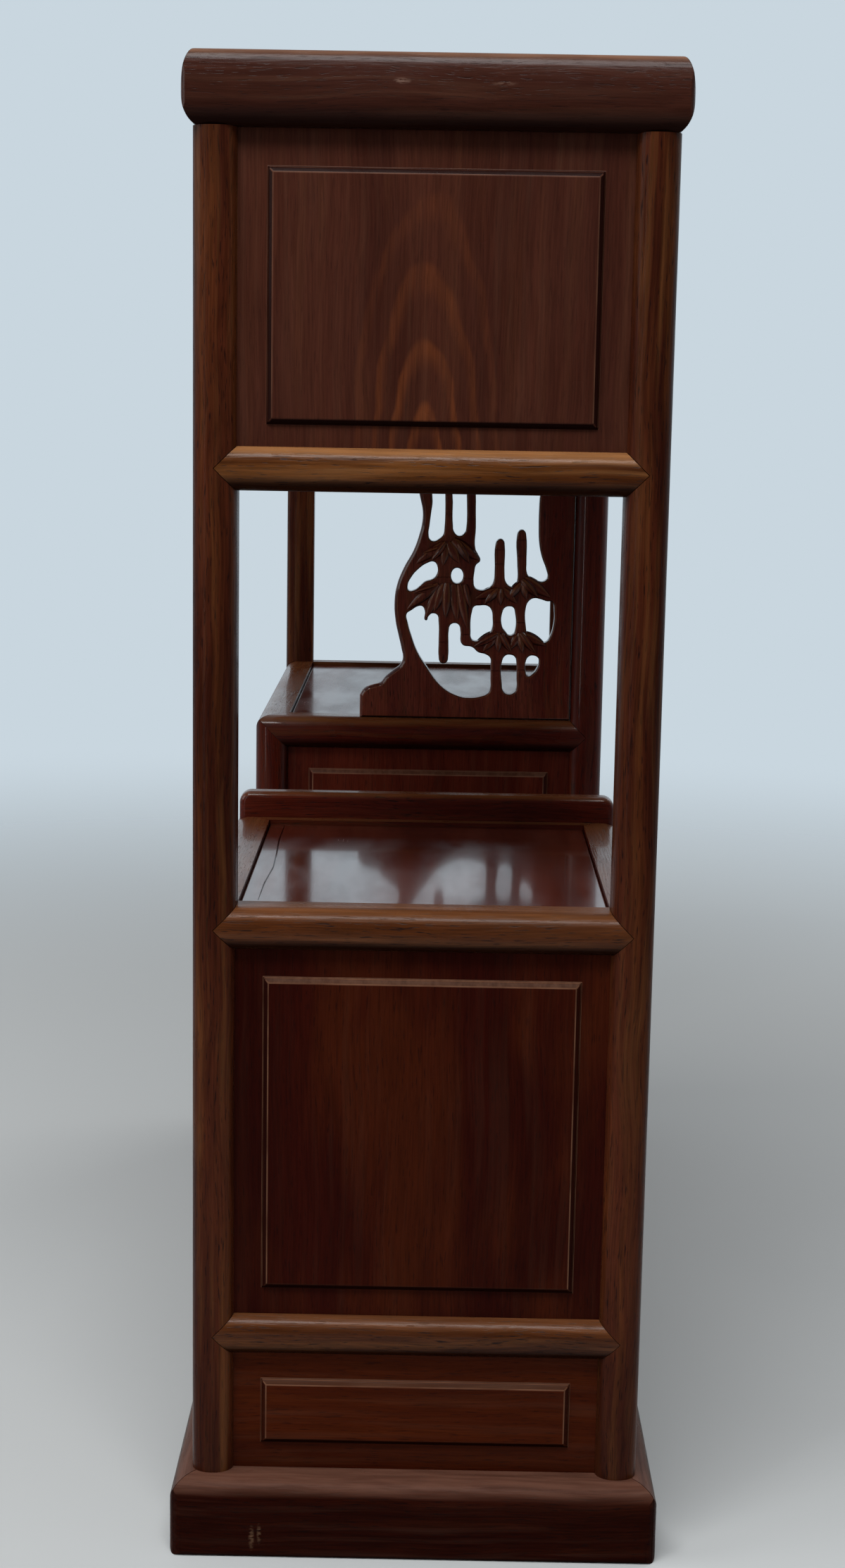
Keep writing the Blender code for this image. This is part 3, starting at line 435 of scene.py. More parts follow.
# each wood: material name, what it shares, what differs, the way the grain runs
woodKinds = {}
for axis in "xyz":
    woodKinds["frame" + axis.upper()] = ("polishedRosewood" + axis.upper(), frameLook, plainTones, axis)
    woodKinds["inner" + axis.upper()] = ("darkRosewood" + axis.upper(), frameLook, innerTones, axis)
woodKinds |= {
    "golden": ("wornRosewoodCross", frameLook, goldenTones, "y"),
    "honey": ("palestLitRosewoodCross", frameLook, honeyTones, "y"),
    "panelZ": ("rosewoodBoardUpright", panelLook, {}, "z"),
    "panelX": ("rosewoodBoardLong", panelLook, {}, "x"),
    "flame": ("rosewoodFlameBoard", panelLook, upperTones, "z"),
    "boxSide": ("rosewoodRedLitBoard", panelLook, boxTones, "z"),
    "lower": ("rosewoodDarkShadedBoard", panelLook, lowerTones, "z"),
    "baseY": ("rosewoodWarmBoardCross", panelLook, baseTones, "y"),
    "baseX": ("rosewoodWarmBoardLong", panelLook, baseTones, "x"),
    "shelf": ("frenchPolishedRosewood", panelLook, shelfTones, "x"),
    "dullShelf": ("waxedRosewood", panelLook, dullTones, "x"),
    "topY": ("rosewoodTopCross", frameLook, {**topTones, "scuffs": topScuffs}, "y"),
    "topX": ("rosewoodTopLong", frameLook, topTones, "x"),
    "plinthY": ("rosewoodPlinthCross", frameLook, {**plinthTones, "scuffs": plinthScuffs}, "y"),
    "plinthX": ("rosewoodPlinthLong", frameLook, plinthTones, "x"),
    "carved": ("carvedRosewood", frameLook, carvedTones, "z"),
}
woods = {}
for kind, (name, shared, tones, grain) in woodKinds.items():
    woods[kind] = rosewood(name, {**shared, **tones, "grain": grain})


# aged brass: cast and polished long ago, gone brown in patches about 6 mm wide
brassLook = {"bright": "#b08d57", "dull": "#6e5330", "patch": 0.006, "span": (0.4, 0.66), "rough": (0.22, 0.48)}
brass = bpy.data.materials.new("agedBrass")
brass.use_nodes = True
metal = brass.node_tree
metalShader = metal.nodes["Principled BSDF"]
onKnob = addNode(metal, "TexCoord", out="Object")
patches = addNode(metal, "TexNoise", {"Vector": onKnob, "Scale": 1 / brassLook["patch"], "Detail": 5})
tarnish = addNode(metal, "MapRange", (patches, *brassLook["span"]))
browned = {0: tarnish, 6: srgb(brassLook["bright"]), 7: srgb(brassLook["dull"])}
metal.links.new(addNode(metal, "Mix", browned, out=2, data_type="RGBA"), metalShader.inputs["Base Color"])
dulled = addNode(metal, "MapRange", (tarnish, 0, 1, *brassLook["rough"]))
metal.links.new(dulled, metalShader.inputs["Roughness"])
metalShader.inputs["Metallic"].default_value = 1
print("materials mixed")


# posts and rails: square bars with their outer edges rounded over, pointed where they cross another bar
barLook = {
    "half": 0.014, "round": 0.01392, "segments": 14, "profile": 0.574, "gap": 0.0003, "overlay": 0.009,
    "tenon": 0.0095, "notch": 0.024, "proud": 0.003,
}
# corner posts: which way their corner points in plan
corners = {
    "post_right_front": (1, -1), "post_right_back": (1, 1), "post_left_front": (-1, -1), "post_left_back": (-1, 1),
}
# upright bars between rails: front or back, the side of the open niche, what the foot and the head run into
uprights = {
    "cupboard_front_post": (-1, -1, "front_lower_rail", None),
    "cupboard_back_post": (1, -1, "back_lower_rail", None),
    "box_front_post": (-1, 1, "front_lower_rail", None),
    "box_back_post": (1, 1, "back_lower_rail", "upper_back_rail"),
}
# rails: direction, outer side, what the lower and upper ends run into (mitre: another rail, in plan)
rails = {}
for level in ("lower", "shelf", "upper"):
    rails[f"right_{level}_rail"] = ("y", 1, "post_right_front", "post_right_back")
for level in ("lower", "box", "upper"):
    rails[f"left_{level}_rail"] = ("y", -1, "post_left_front", "post_left_back")
rails |= {
    "front_lower_rail": ("x", -1, "post_left_front", "post_right_front"),
    "back_lower_rail": ("x", 1, "post_left_back", "post_right_back"),
    "upper_front_rail": ("x", -1, "post_left_front", "post_right_front"),
    "upper_back_rail": ("x", 1, "post_left_back", "post_right_back"),
    "cupboard_front_rail": ("x", -1, "mitre", "post_right_front"),
    "cupboard_back_rail": ("x", 1, "mitre", "post_right_back"),
    "cupboard_lip_rail": ("y", -1, "mitre", "mitre"),
    "box_front_rail": ("x", -1, "post_left_front", "mitre"),
    "box_back_rail": ("x", 1, "post_left_back", "box_back_post"),
    "box_side_rail": ("y", 1, "mitre", "box_back_post"),
}
# corners where a post and two rails meet in one point: the rails, and which way the corner points in plan
cornerJoints = {
    "box_front_post": ("box_front_rail", "box_side_rail", 1, -1),
    "cupboard_front_post": ("cupboard_front_rail", "cupboard_lip_rail", -1, -1),
    "cupboard_back_post": ("cupboard_back_rail", "cupboard_lip_rail", -1, 1),
}
bars = {}
notches = []


def pointEnd(piece, tip, way, across, outward, host):
    # two cuts at 45 degrees make the point; the crossing bar gets the matching notch later
    for turn in (1, -1):
        cutOff(piece, tip - way * barLook["gap"], way + across * turn)
    notches.append((host, tip, way, outward))


def roundBar(name, low, high, along, keepSquare):
    piece = cubeAt(name + "_dressed", low, high)
    middle = (Vector(low) + Vector(high)) / 2

    def wanted(at, run):
        return abs(run.dot(axisOf[along])) >= tiny and not keepSquare(at - middle)

    roundEdges(piece, wanted, barLook["round"], barLook["segments"], barLook["profile"])
    return piece


for node, (sideX, sideY) in corners.items():
    low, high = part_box(node)
    low.z, high.z = low.z + barLook["tenon"], high.z - barLook["tenon"]
    bars[node] = roundBar(node, low, high, "z", lambda away: away.x * sideX < 0 and away.y * sideY < 0)

for node, (out, niche, foot, head) in uprights.items():
    low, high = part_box(node)
    middle = (low + high) / 2
    if node in cornerJoints:
        high.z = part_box(cornerJoints[node][0])[0].z + 2 * barLook["half"]
    bars[node] = roundBar(node, low, high, "z", lambda away: away.y * out < 0 and away.x * niche < 0)
    outward = axisOf["y"] * out
    pointEnd(bars[node], Vector((middle.x, middle.y, low.z)), -axisOf["z"], axisOf["x"], outward, foot)
    if head:
        pointEnd(bars[node], Vector((middle.x, middle.y, high.z)), axisOf["z"], axisOf["x"], outward, head)

for node, (along, out, lowEnd, highEnd) in rails.items():
    low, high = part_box(node)
    high.z = low.z + 2 * barLook["half"]
    middle = (low + high) / 2
    side = axisOf["x" if along == "y" else "y"] * out
    bars[node] = roundBar(node, low, high, along, lambda away: away.dot(side) < 0)
    for host, corner, way in ((lowEnd, low, -axisOf[along]), (highEnd, high, axisOf[along])):
        tip = middle + axisOf[along] * (corner - middle).dot(axisOf[along])
        if host == "mitre":
            cutOff(bars[node], tip - way * (barLook["half"] + barLook["gap"] / 2), way - side)
        else:
            pointEnd(bars[node], tip, way, axisOf["z"], side, host)

for node, (railX, railY, wayX, wayY) in cornerJoints.items():
    low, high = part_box(node)
    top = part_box(railX)[0].z + 2 * barLook["half"]
    point = Vector((high.x if wayX > 0 else low.x, high.y if wayY > 0 else low.y, top))
    lower = point - axisOf["z"] * barLook["gap"]
    cutOff(bars[node], lower, (-wayX, 0, 1))
    cutOff(bars[node], lower, (0, -wayY, 1))
    cutOff(bars[railX], point, (wayX, 0, -1))
    cutOff(bars[railY], point, (0, wayY, -1))

# the matching notches, a square on its corner, sunk as deep as the overlay
for host, tip, way, outward in notches:
    reach = barLook["notch"]
    depth = barLook["overlay"] + barLook["proud"]
    centre = tip - way * (reach - barLook["gap"]) + outward * (barLook["half"] - barLook["overlay"] + depth / 2)
    turn = (0, math.pi / 2, 0) if abs(outward.x) > 0.5 else (math.pi / 2, 0, 0)
    bpy.ops.mesh.primitive_cylinder_add(vertices=4, radius=reach, depth=depth, location=centre, rotation=turn)
    combine(bars[host], bpy.context.object, "DIFFERENCE")

# the lip: a low upstand with rounded ends, along the open end of the near shelf; roundings are size and steps
lip = {"tall": 0.032, "thick": 0.018, "inset": 0.0035, "corner": (0.009, 8), "edge": (0.005, 6)}
low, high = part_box("cupboard_lip_rail")
base = high.z - lip["tall"]
near, far = low.y + lip["inset"], high.y - lip["inset"]
upstand = cubeAt("upstand", (low.x, near, base), (low.x + lip["thick"], far, high.z))
roundEdges(upstand, lambda at, run: abs(run.x) > milli and at.z > base + milli, *lip["corner"])
roundEdges(upstand, lambda at, run: abs(run.x) < tiny and at.z > base + 2 * milli, *lip["edge"])
combine(bars["cupboard_lip_rail"], upstand, "UNION")

for node, piece in bars.items():
    grain = rails[node][0].upper() if node in rails else "Z"
    wood = "frame" + grain
    if node.startswith(("right_", "left_")):
        wood = "honey" if node == "right_upper_rail" else "golden"
    if node.startswith(("box_", "cupboard_")):
        wood = "inner" + grain
    smoothOver(piece)
    hand(piece, woods[wood], "frame_wood", "carcase", node)
print("posts and rails made:", len(bars))


# top and plinth boards: a moulded outer edge, mitred at the corners
boardSides = {"front": -axisOf["y"], "back": axisOf["y"], "left": -axisOf["x"], "right": axisOf["x"]}
# each edge: depth and height of its lower and upper curve, the corner's radius, how its nodes' names end
topEdge = {
    "under": (0.011, 0.020), "over": (0.008, 0.025), "corner": 0.006,
    "ending": {"front": "_rail", "back": "_rail", "left": "_end", "right": "_end"},
}
plinthEdge = {
    "under": (0.003, 0.004), "over": (0.016, 0.016), "corner": 0.009, "ending": dict.fromkeys(boardSides, ""),
}
boardLook = {"steps": 12, "cornerSteps": 10, "past": 0.01, "smooth": 28}


def edgeProfile(edge, height):
    # how far the face stands back at each height, from the underside up
    angles = [math.pi / 2 * step / boardLook["steps"] for step in range(boardLook["steps"] + 1)]
    deep, tall = edge["under"]
    profile = [(deep * (1 - math.sin(angle)), tall * (1 - math.cos(angle))) for angle in angles]
    deep, tall = edge["over"]
    return profile + [(deep * (1 - math.cos(angle)), height - tall * (1 - math.sin(angle))) for angle in angles]


def mouldedBoard(node, outward, edge):
    low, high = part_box(node)
    piece = cubeAt(node + "_dressed", low, high)
    profile = edgeProfile(edge, high.z - low.z)
    count = len(profile) - 1
    pickEdges(piece, lambda at, run: abs(run.z) > milli)
    bpy.ops.mesh.subdivide(number_cuts=count - 1)
    shape = bmesh.from_edit_mesh(piece.data)
    face = max(v.co.dot(outward) for v in shape.verts)
    for v in shape.verts:
        level = round((v.co.z - low.z) / (high.z - low.z) * count)
        onFace = v.co.dot(outward) > face - tiny
        v.co.z = low.z + profile[level][1]
        if onFace:
            v.co -= outward * profile[level][0]
    bmesh.update_edit_mesh(piece.data)
    leaveEdit()
    along = axisOf["z"].cross(outward)
    for way in (along, -along):
        corner = max(v.co.dot(way) for v in piece.data.vertices) * way + outward * face
        cutOff(piece, corner - way * barLook["gap"] / 2, way - outward)
    return piece


for board, edge in (("top", topEdge), ("plinth", plinthEdge)):
    low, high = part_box(f"{board}_front{edge['ending']['front']}")
    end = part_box(f"{board}_right{edge['ending']['right']}")[1].x
    past = boardLook["past"]
    block = cubeAt("block", (-end, low.y, low.z - past), (end, -low.y, high.z + past))
    roundEdges(block, lambda at, run: abs(run.z) > milli, edge["corner"], boardLook["cornerSteps"])
    for side, outward in boardSides.items():
        node = f"{board}_{side}{edge['ending'][side]}"
        piece = mouldedBoard(node, outward, edge)
        combine(piece, block, "INTERSECT", keep=True)
        smoothOver(piece, boardLook["smooth"])
        grain = "X" if side in ("front", "back") else "Y"
        hand(piece, woods[board + grain], "frame_wood", "carcase", node)
    bpy.data.objects.remove(block)
print("top and plinth made")


# boards and panels: the CAD solids, cleaned and with their arrises softened
panelSoft = {"arris": 0.0009, "shelf": 0.0016, "segments": 3, "weld": 0.00002, "flat": 1}
boards = {
    "right_upper_panel": "flame", "right_lower_panel": "lower", "right_base_panel": "baseY",
    "left_lower_panel": "panelZ", "left_base_panel": "baseY", "front_apron": "baseX", "back_apron": "baseX",
    "box_side_panel": "boxSide", "cupboard_side_panel": "panelZ", "cupboard_back_panel": "panelX",
    "box_back_panel": "panelX", "upper_back_panel": "panelX", "upper_partition": "panelZ",
    "floor_panel": "dullShelf", "upper_shelf_panel": "dullShelf", "cupboard_top_panel": "shelf",
    "box_top_panel": "dullShelf", "top_panel": "panelX", "upper_door_panel": "panelX",
    "cupboard_door_panel": "panelZ", "box_door_panel": "panelZ",
}
# a long drying crack in the near shelf, along the grain by its front edge; share is of its width
crack = {
    "line": (
        (0.166, -0.1098), (0.221, -0.1103), (0.276, -0.1085), (0.322, -0.1075), (0.376, -0.1099), (0.429, -0.1102),
    ),
    "share": (0.25, 0.9, 1.0, 0.8, 0.9, 0.25), "wide": 0.0013, "deep": 0.0025,
}


def softBoard(node, arris):
    piece = bpy.data.objects.new(node + "_dressed", frame["nodes"][node].data.copy())
    scene.collection.objects.link(piece)
    onlySelect(piece)
    bpy.ops.mesh.customdata_custom_splitnormals_clear()
    editAll(piece)
    bpy.ops.mesh.remove_doubles(threshold=panelSoft["weld"])
    bpy.ops.mesh.dissolve_limited(angle_limit=math.radians(panelSoft["flat"]))
    leaveEdit()
    soften = piece.modifiers.new("soften", "BEVEL")
    soften.width = arris
    soften.segments = panelSoft["segments"]
    soften.limit_method = "ANGLE"
    bpy.ops.object.modifier_apply(modifier=soften.name)
    editAll(piece)
    bpy.ops.mesh.dissolve_degenerate(threshold=speck)
    leaveEdit()
    return piece


def crackAt(top):
    curve = flatCurve("crack", crack["deep"])
    spots = [(x, y, crack["wide"] / 2 * share) for (x, y), share in zip(crack["line"], crack["share"])]
    outline = [(x, y + half) for x, y, half in spots] + [(x, y - half) for x, y, half in spots[::-1]]
    edge = curve.splines.new("POLY")
    edge.points.add(len(outline) - 1)
    for point, (x, y) in zip(edge.points, outline):
        point.co = (x, y, 0, 1)
    edge.use_cyclic_u = True
    split = solidFrom(curve)
    split.data.transform(Matrix.Translation((0, 0, top)))
    return split


for node, wood in boards.items():
    piece = softBoard(node, panelSoft["shelf" if wood in ("shelf", "dullShelf") else "arris"])
    if node == "cupboard_top_panel":
        combine(piece, crackAt(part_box(node)[1].z), "DIFFERENCE")
    smoothOver(piece)
    hand(piece, woods[wood], "panel_wood", bodyOf[node], node)
print("boards softened:", len(boards))


# doors: a mitred frame round each panel, its face pillowed like the rails, and a turned knob
# roundings are size, steps and profile; pin is how far each pivot pin stands out of the frame
doorLook = {
    "stile": 0.032, "pillow": (0.006, 8, 0.6), "hinge": (0.0088, 10), "arris": (0.0012, 3), "gap": 0.00012,
    "pin": 0.0072, "pinRadius": 0.003, "pinSides": 24, "pinRound": (0.0006, 2), "pivot": 0.009,
}
# which side each door is hung on: 1 is the right-hand side
doorHinges = {"upper_door": -1, "cupboard_door": 1, "box_door": -1}
# half profile from the door outwards: share of the rose's radius, share of the length
knob = {
    "rose": 0.010, "length": 0.0075, "segments": 40, "smooth": 40,
    "turning": (
        (1.0, 0.0), (1.0, 0.08), (0.98, 0.13), (0.94, 0.165), (0.88, 0.185), (0.62, 0.2), (0.52, 0.215),
        (0.46, 0.26), (0.45, 0.32), (0.46, 0.37), (0.52, 0.4), (0.72, 0.44), (0.8, 0.47), (0.835, 0.51),
        (0.85, 0.56), (0.845, 0.62), (0.82, 0.68), (0.76, 0.76), (0.66, 0.85), (0.52, 0.92), (0.34, 0.97),
        (0.17, 0.99), (0.04, 1.0),
    ),
}


def doorFrame(door, hinge):
    low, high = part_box(door + "_frame")
    low.z, high.z = low.z + doorLook["pin"], high.z - doorLook["pin"]
    wide = doorLook["stile"]
    strips = {
        "z-": (low, (low.x + wide, high.y, high.z)), "z+": ((high.x - wide, low.y, low.z), high),
        "x-": (low, (high.x, high.y, low.z + wide)), "x+": ((low.x, low.y, high.z - wide), high),
    }
    front, back = low.y + speck, high.y - speck
    made = []
    for (grain, side), (near, far) in strips.items():
        along = axisOf[grain]
        across = axisOf["x" if grain == "z" else "z"] * (1 if side == "+" else -1)
        strip = cubeAt("strip", near, far)
        middle = (Vector(near) + Vector(far)) / 2
        reach = Vector(far) - middle

        def roundLong(test, rounding):
            roundEdges(strip, lambda at, run: abs(run.dot(along)) > milli and test(at), *rounding)

        if grain == "z" and (hinge > 0) == (side == "+"):
            roundLong(lambda at: (at - middle).dot(across) > 0, doorLook["hinge"])
            roundLong(lambda at: at.y < front and (at - middle).dot(across) < -wide / 4, doorLook["pillow"])
        else:
            roundLong(lambda at: at.y < front, doorLook["pillow"])
            roundLong(lambda at: at.y > back, doorLook["arris"])
        for way in (along, -along):
            corner = middle + way * abs(reach.dot(along)) + across * abs(reach.dot(across))
            cutOff(strip, corner - way * doorLook["gap"], way - across)
        strip.data.materials.append(woods["frame" + grain.upper()])
        made.append(strip)
    hung = high.x - doorLook["pivot"] if hinge > 0 else low.x + doorLook["pivot"]
    for z in (low.z, high.z):
        bpy.ops.mesh.primitive_cylinder_add(
            vertices=doorLook["pinSides"], radius=doorLook["pinRadius"], depth=2 * doorLook["pin"],
            location=(hung, (low.y + high.y) / 2, z),
        )
        pin = bpy.context.object
        applyPlace()
        roundEdges(pin, lambda at, run: abs(run.z) < tiny, *doorLook["pinRound"])
        pin.data.materials.append(woods["frameZ"])
        made.append(pin)
    onlySelect(*made)
    bpy.ops.object.join()
    leaf = bpy.context.object
    leaf.name = door + "_frame_dressed"
    smoothOver(leaf)
    place(leaf, "frame_wood", door, door + "_frame")


def turnedKnob(door):
    low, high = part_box(door + "_knob")
    hub = Vector(((low.x + high.x) / 2, high.y, (low.z + high.z) / 2))
    bpy.ops.mesh.primitive_circle_add(
        vertices=knob["segments"], radius=knob["rose"], fill_type="NGON", location=hub, rotation=(math.pi / 2, 0, 0)
    )
    piece = bpy.context.object
    piece.name = door + "_knob_dressed"
    applyPlace()
    editAll(piece)
    bpy.ops.mesh.select_mode(type="FACE")
    bpy.ops.mesh.select_all(action="SELECT")
    for reach, out in knob["turning"][1:]:
        bpy.ops.mesh.extrude_region_move(TRANSFORM_OT_translate={"value": (0, 0, 0)})
        shape = bmesh.from_edit_mesh(piece.data)
        for v in shape.verts:
            if v.select:
                spoke = Vector((v.co.x - hub.x, 0, v.co.z - hub.z)).normalized()
                v.co = hub + spoke * knob["rose"] * reach - axisOf["y"] * knob["length"] * out
        bmesh.update_edit_mesh(piece.data)
    turnOutward()
    smoothOver(piece, knob["smooth"])
    hand(piece, brass, "knob_brass", door, door + "_knob")


for door, hinge in doorHinges.items():
    doorFrame(door, hinge)
    turnedKnob(door)
print("doors made:", len(doorHinges))


# vase screen: a board sawn to half a vase, pierced round bamboo stalks, with carved leaves
# outlines are in millimetres from the board's front bottom corner, along its length and up
screen = {
    "thick": 0.014, "sunk": 0.0012, "round": 0.0016, "rimRound": 0.004, "clear": 0.0002, "length": 0.182,
    "spare": 20, "past": 10, "curveSteps": 5, "roundSteps": 3,
    "foot": ((0, 0), (0, 19), (4, 24.5), (12, 28), (18, 30), (22, 35), (29, 41), (34.5, 45.5), (36.8, 51)),
    "side": (
        (35.4, 60), (33, 70), (30, 83.5), (28.8, 100), (30.7, 114), (36.4, 129), (44.5, 144), (49.3, 158),
        (51.5, 168),
    ),
    "neck": ((51.8, 178), (50, 187), (45, 205), (36, 222), (27, 231.5)),
}
screen["holes"] = {
    "slotOne": (
        (60.2, 186), (59.3, 178), (57.9, 166), (57.2, 158), (58.6, 153.7), (61.9, 152.4), (66.1, 154.3),
        (69.7, 158), (70.6, 163), (70.5, 200), (69, 219), (62, 221), (58, 213),
    ),
    "slotTwo": (
        (77.5, 186), (77.9, 166.5), (79, 160.7), (83.5, 157.2), (88.1, 160), (89.3, 164), (88.9, 200), (88, 219),
        (83, 222), (78, 219),
    ),
    "clouds": (
        (97.2, 187), (97.6, 165), (97.7, 146), (99.8, 142), (101.9, 136.6), (98.3, 132.6), (97.1, 126.8),
        (96.6, 118.4), (97.9, 113.3), (101.5, 111.2), (107.2, 111.8), (111.3, 114.4), (113.7, 118.7), (114.4, 127),
        (114.7, 150.5), (116.3, 154), (119, 155.3), (121.6, 154), (122.6, 150), (123, 125.5), (123.8, 119.7),
        (126.4, 115.9), (129.8, 114.3), (132.6, 115.6), (133.9, 119), (133.7, 135), (132.9, 157.5), (134.2, 161.7),
        (137, 163.4), (139.8, 162), (140.9, 158.4), (141.6, 135), (141.9, 128), (143.8, 123.9), (148.9, 121.3),
        (153.1, 119.4), (157.3, 119.8), (159.9, 123), (158.8, 129.5), (154.8, 140), (152.3, 151), (151.3, 168),
        (151.4, 186), (152, 205), (149, 219), (140, 223), (120, 224), (104, 222), (98, 214),
    ),
    "leafGap": (
        (40, 114), (43.2, 121.6), (49, 128.4), (56.4, 133.6), (62.3, 134.8), (65.4, 130), (64.2, 122.8),
        (60.9, 119.7), (55, 117.6), (50.1, 113.3), (45.9, 110.2), (41, 109.8),
    ),
    "eye": ((82.1, 130), (87.6, 123.2), (82.4, 116.4), (77.1, 123)),
    "belly": (
        (39.5, 89.6), (43.7, 93), (49.5, 96.5), (52.9, 96.4), (55.1, 92.4), (56.1, 84.3), (58.9, 89.1),
        (63.1, 90.5), (66, 88.9), (67, 84), (67.4, 65), (67.6, 53.7), (68.9, 48.6), (71.8, 47.3), (74.8, 48.6),
        (76, 54), (76, 65), (76, 75.9), (77.2, 80.6), (80.9, 82.4), (84.6, 80.8), (86.1, 75), (87.6, 64.3),
        (96.5, 61.9), (101.6, 57.7), (108.4, 55.8), (112.2, 52.8), (112.8, 46), (112.9, 35), (112.8, 26),
        (110.8, 22.2), (105.8, 19.5), (92.3, 17.9), (85.5, 19.2), (75.3, 24.1), (66.7, 31.6), (58, 43.4),
        (49.3, 56.8), (44, 70.2), (40.5, 82),
    ),
    "midLeft": (
        (95.8, 93), (97.4, 96.9), (102.4, 98), (109.2, 97.6), (112.3, 94.3), (113.6, 86.7), (113.3, 78.2),
        (110.5, 73.1), (104.7, 69.6), (99.7, 67), (96, 68.6), (94.8, 76),
    ),
    "midEye": (
        (122.2, 93.6), (124.3, 96.7), (127.7, 97.7), (131, 96.8), (132.8, 92), (133.2, 77), (131.6, 73.5),
        (128.3, 72.6), (124.8, 75.9), (122, 80),
    ),
    "midRight": (
        (142, 97), (144.3, 102.4), (148.5, 105), (154.4, 104.3), (159.5, 102.7), (164.5, 102), (166.4, 94.4),
        (165.9, 81), (163.3, 72.4), (160, 67.3), (155, 67), (148.5, 69.6), (144.2, 73.7), (142.4, 80.5),
    ),
    "lowEye": (
        (122.8, 51), (125.3, 55), (129.5, 55.9), (133.4, 54.1), (135.1, 48), (135.4, 36), (135.3, 26),
        (132.8, 22.6), (128.6, 21.5), (124.3, 24.1), (122.8, 31),
    ),
    "lowCorner": (
        (143.1, 50.5), (145.5, 54.6), (149.7, 55.5), (153.4, 53.6), (154.4, 50.2), (152.6, 44.2), (149.3, 39.9),
        (145.1, 37.6), (143, 42),
    ),
}
# rings round the stalks: middle of the stalk, height, width; saw cuts: depth, how far past the stalk, half height
rings = {
    "deep": 0.0009, "past": 0.001, "half": 0.0004,
    "at": (
        (74, 176, 8), (93, 172, 9), (71.6, 122, 12), (93, 121, 11), (71.6, 66, 9), (90, 73, 9.5), (118.6, 134, 9),
        (137.2, 141, 9), (118, 84, 9), (137.5, 84, 9), (117.6, 42, 9.5), (139, 43, 8), (118.2, 146, 8.5),
        (137, 155, 8.5),
    ),
}
# leaves: root, tip, width; the shape of one: how blunt its root is, how fine its tip, its edge and its midrib
foliage = {
    "steps": (12, 6), "blunt": 0.12, "fine": 0.03, "swell": (0.9, 0.8), "edge": 0.35, "dome": 2.5, "rib": 0.12,
    "breadth": 1.5, "lift": 0.0020, "stagger": 0.0006, "bedded": 0.0004, "smooth": 60,
    "at": (
        ((70, 151), (47, 133), 5.5), ((71, 148), (52, 142), 4.5), ((72, 152), (60, 136), 5),
        ((74, 152), (84, 134), 6.5), ((78, 154), (101, 137), 7), ((82, 153), (93, 134), 6),
        ((72, 150), (70, 132), 5.5), ((66, 116), (40, 94), 6), ((64, 114), (45, 108), 4.5),
        ((68, 115), (56, 86), 6), ((71, 116), (63, 92), 6), ((74, 117), (73, 87), 6.5), ((79, 116), (83, 85), 6.5),
        ((84, 116), (92, 78), 6), ((89, 116), (94, 96), 5), ((118, 112), (98, 104), 5.5),
        ((118, 113), (106, 99.5), 5), ((120, 113), (120, 98.5), 5), ((122, 113), (134, 100.5), 5),
        ((137, 118), (126, 103), 5), ((138, 121), (152, 106.5), 6), ((140, 122), (163, 106), 6.5),
        ((139, 119), (142, 104), 5), ((118, 74), (98, 63), 5.5), ((118, 75), (106, 58.5), 5.5),
        ((119, 75), (119, 58), 5), ((121, 74), (130, 58.5), 5), ((137, 74), (128, 60), 5),
        ((137, 75), (140, 57.5), 5), ((138, 75), (151, 58), 5.5), ((139, 74), (160, 64.5), 5.5),
    ),
}
low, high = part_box("vase_screen")
origin = Vector(((low.x + high.x) / 2, low.y, low.z))
tall = (high.z - low.z) * 1000
# stands a flat outline up along the cabinet's depth
onEdge = Matrix(((0, 0, 1, 0), (1, 0, 0, 0), (0, 1, 0, 0), (0, 0, 0, 1)))


def sawnBoard(name, outlines, half, roundOver):
    # each outline is its points and which of them are sharp corners
    curve = flatCurve(name, half - roundOver)
    curve.bevel_depth = roundOver
    curve.bevel_resolution = screen["roundSteps"]
    curve.offset = -roundOver
    for points, sharp in outlines:
        spline = curve.splines.new("BEZIER")
        spline.bezier_points.add(len(points) - 1)
        for index, (point, (along, height)) in enumerate(zip(spline.bezier_points, points)):
            point.co = (along / 1000, height / 1000, 0)
            kind = "VECTOR" if index in sharp else "AUTO"
            point.handle_left_type = kind
            point.handle_right_type = kind
        spline.use_cyclic_u = True
        spline.resolution_u = screen["curveSteps"]
    piece = solidFrom(curve)
    piece.data.transform(Matrix.Translation(origin) @ onEdge)
    return piece


back = screen["length"] * 1000
face = screen["thick"] / 2 - screen["sunk"]
square = ((-screen["spare"], 0), (-screen["spare"], tall), (back, tall), (back, 0))
outlines = [(square, range(4))] + [(hole, ()) for hole in screen["holes"].values()]
vase = sawnBoard("vase_screen_dressed", outlines, face, screen["round"])

# the vase's own rim is rounded over more than the holes; the rim's blank runs past the board on the other sides
past = screen["past"]
rim = [(0, -past), *screen["foot"][1:], *screen["side"], *screen["neck"]]
rim += [(rim[-1][0], tall + past), (back + past, tall + past), (back + past, -past)]
sharpAt = (0, 1, *range(len(rim) - 4, len(rim)))
blank = sawnBoard("blank", [(rim, sharpAt)], face + screen["clear"], screen["rimRound"])
combine(vase, blank, "INTERSECT")

# bamboo rings, cut in as fine lines on both faces
for middle, height, wide in rings["at"]:
    for side in (-1, 1):
        line = Vector((origin.x + side * face, origin.y + middle / 1000, origin.z + height / 1000))
        reach = Vector((rings["deep"], wide / 2000 + rings["past"], rings["half"]))
        combine(vase, cubeAt("saw", line - reach, line + reach), "DIFFERENCE")
smoothOver(vase)
hand(vase, woods["carved"], "panel_wood", "carcase", "vase_screen")

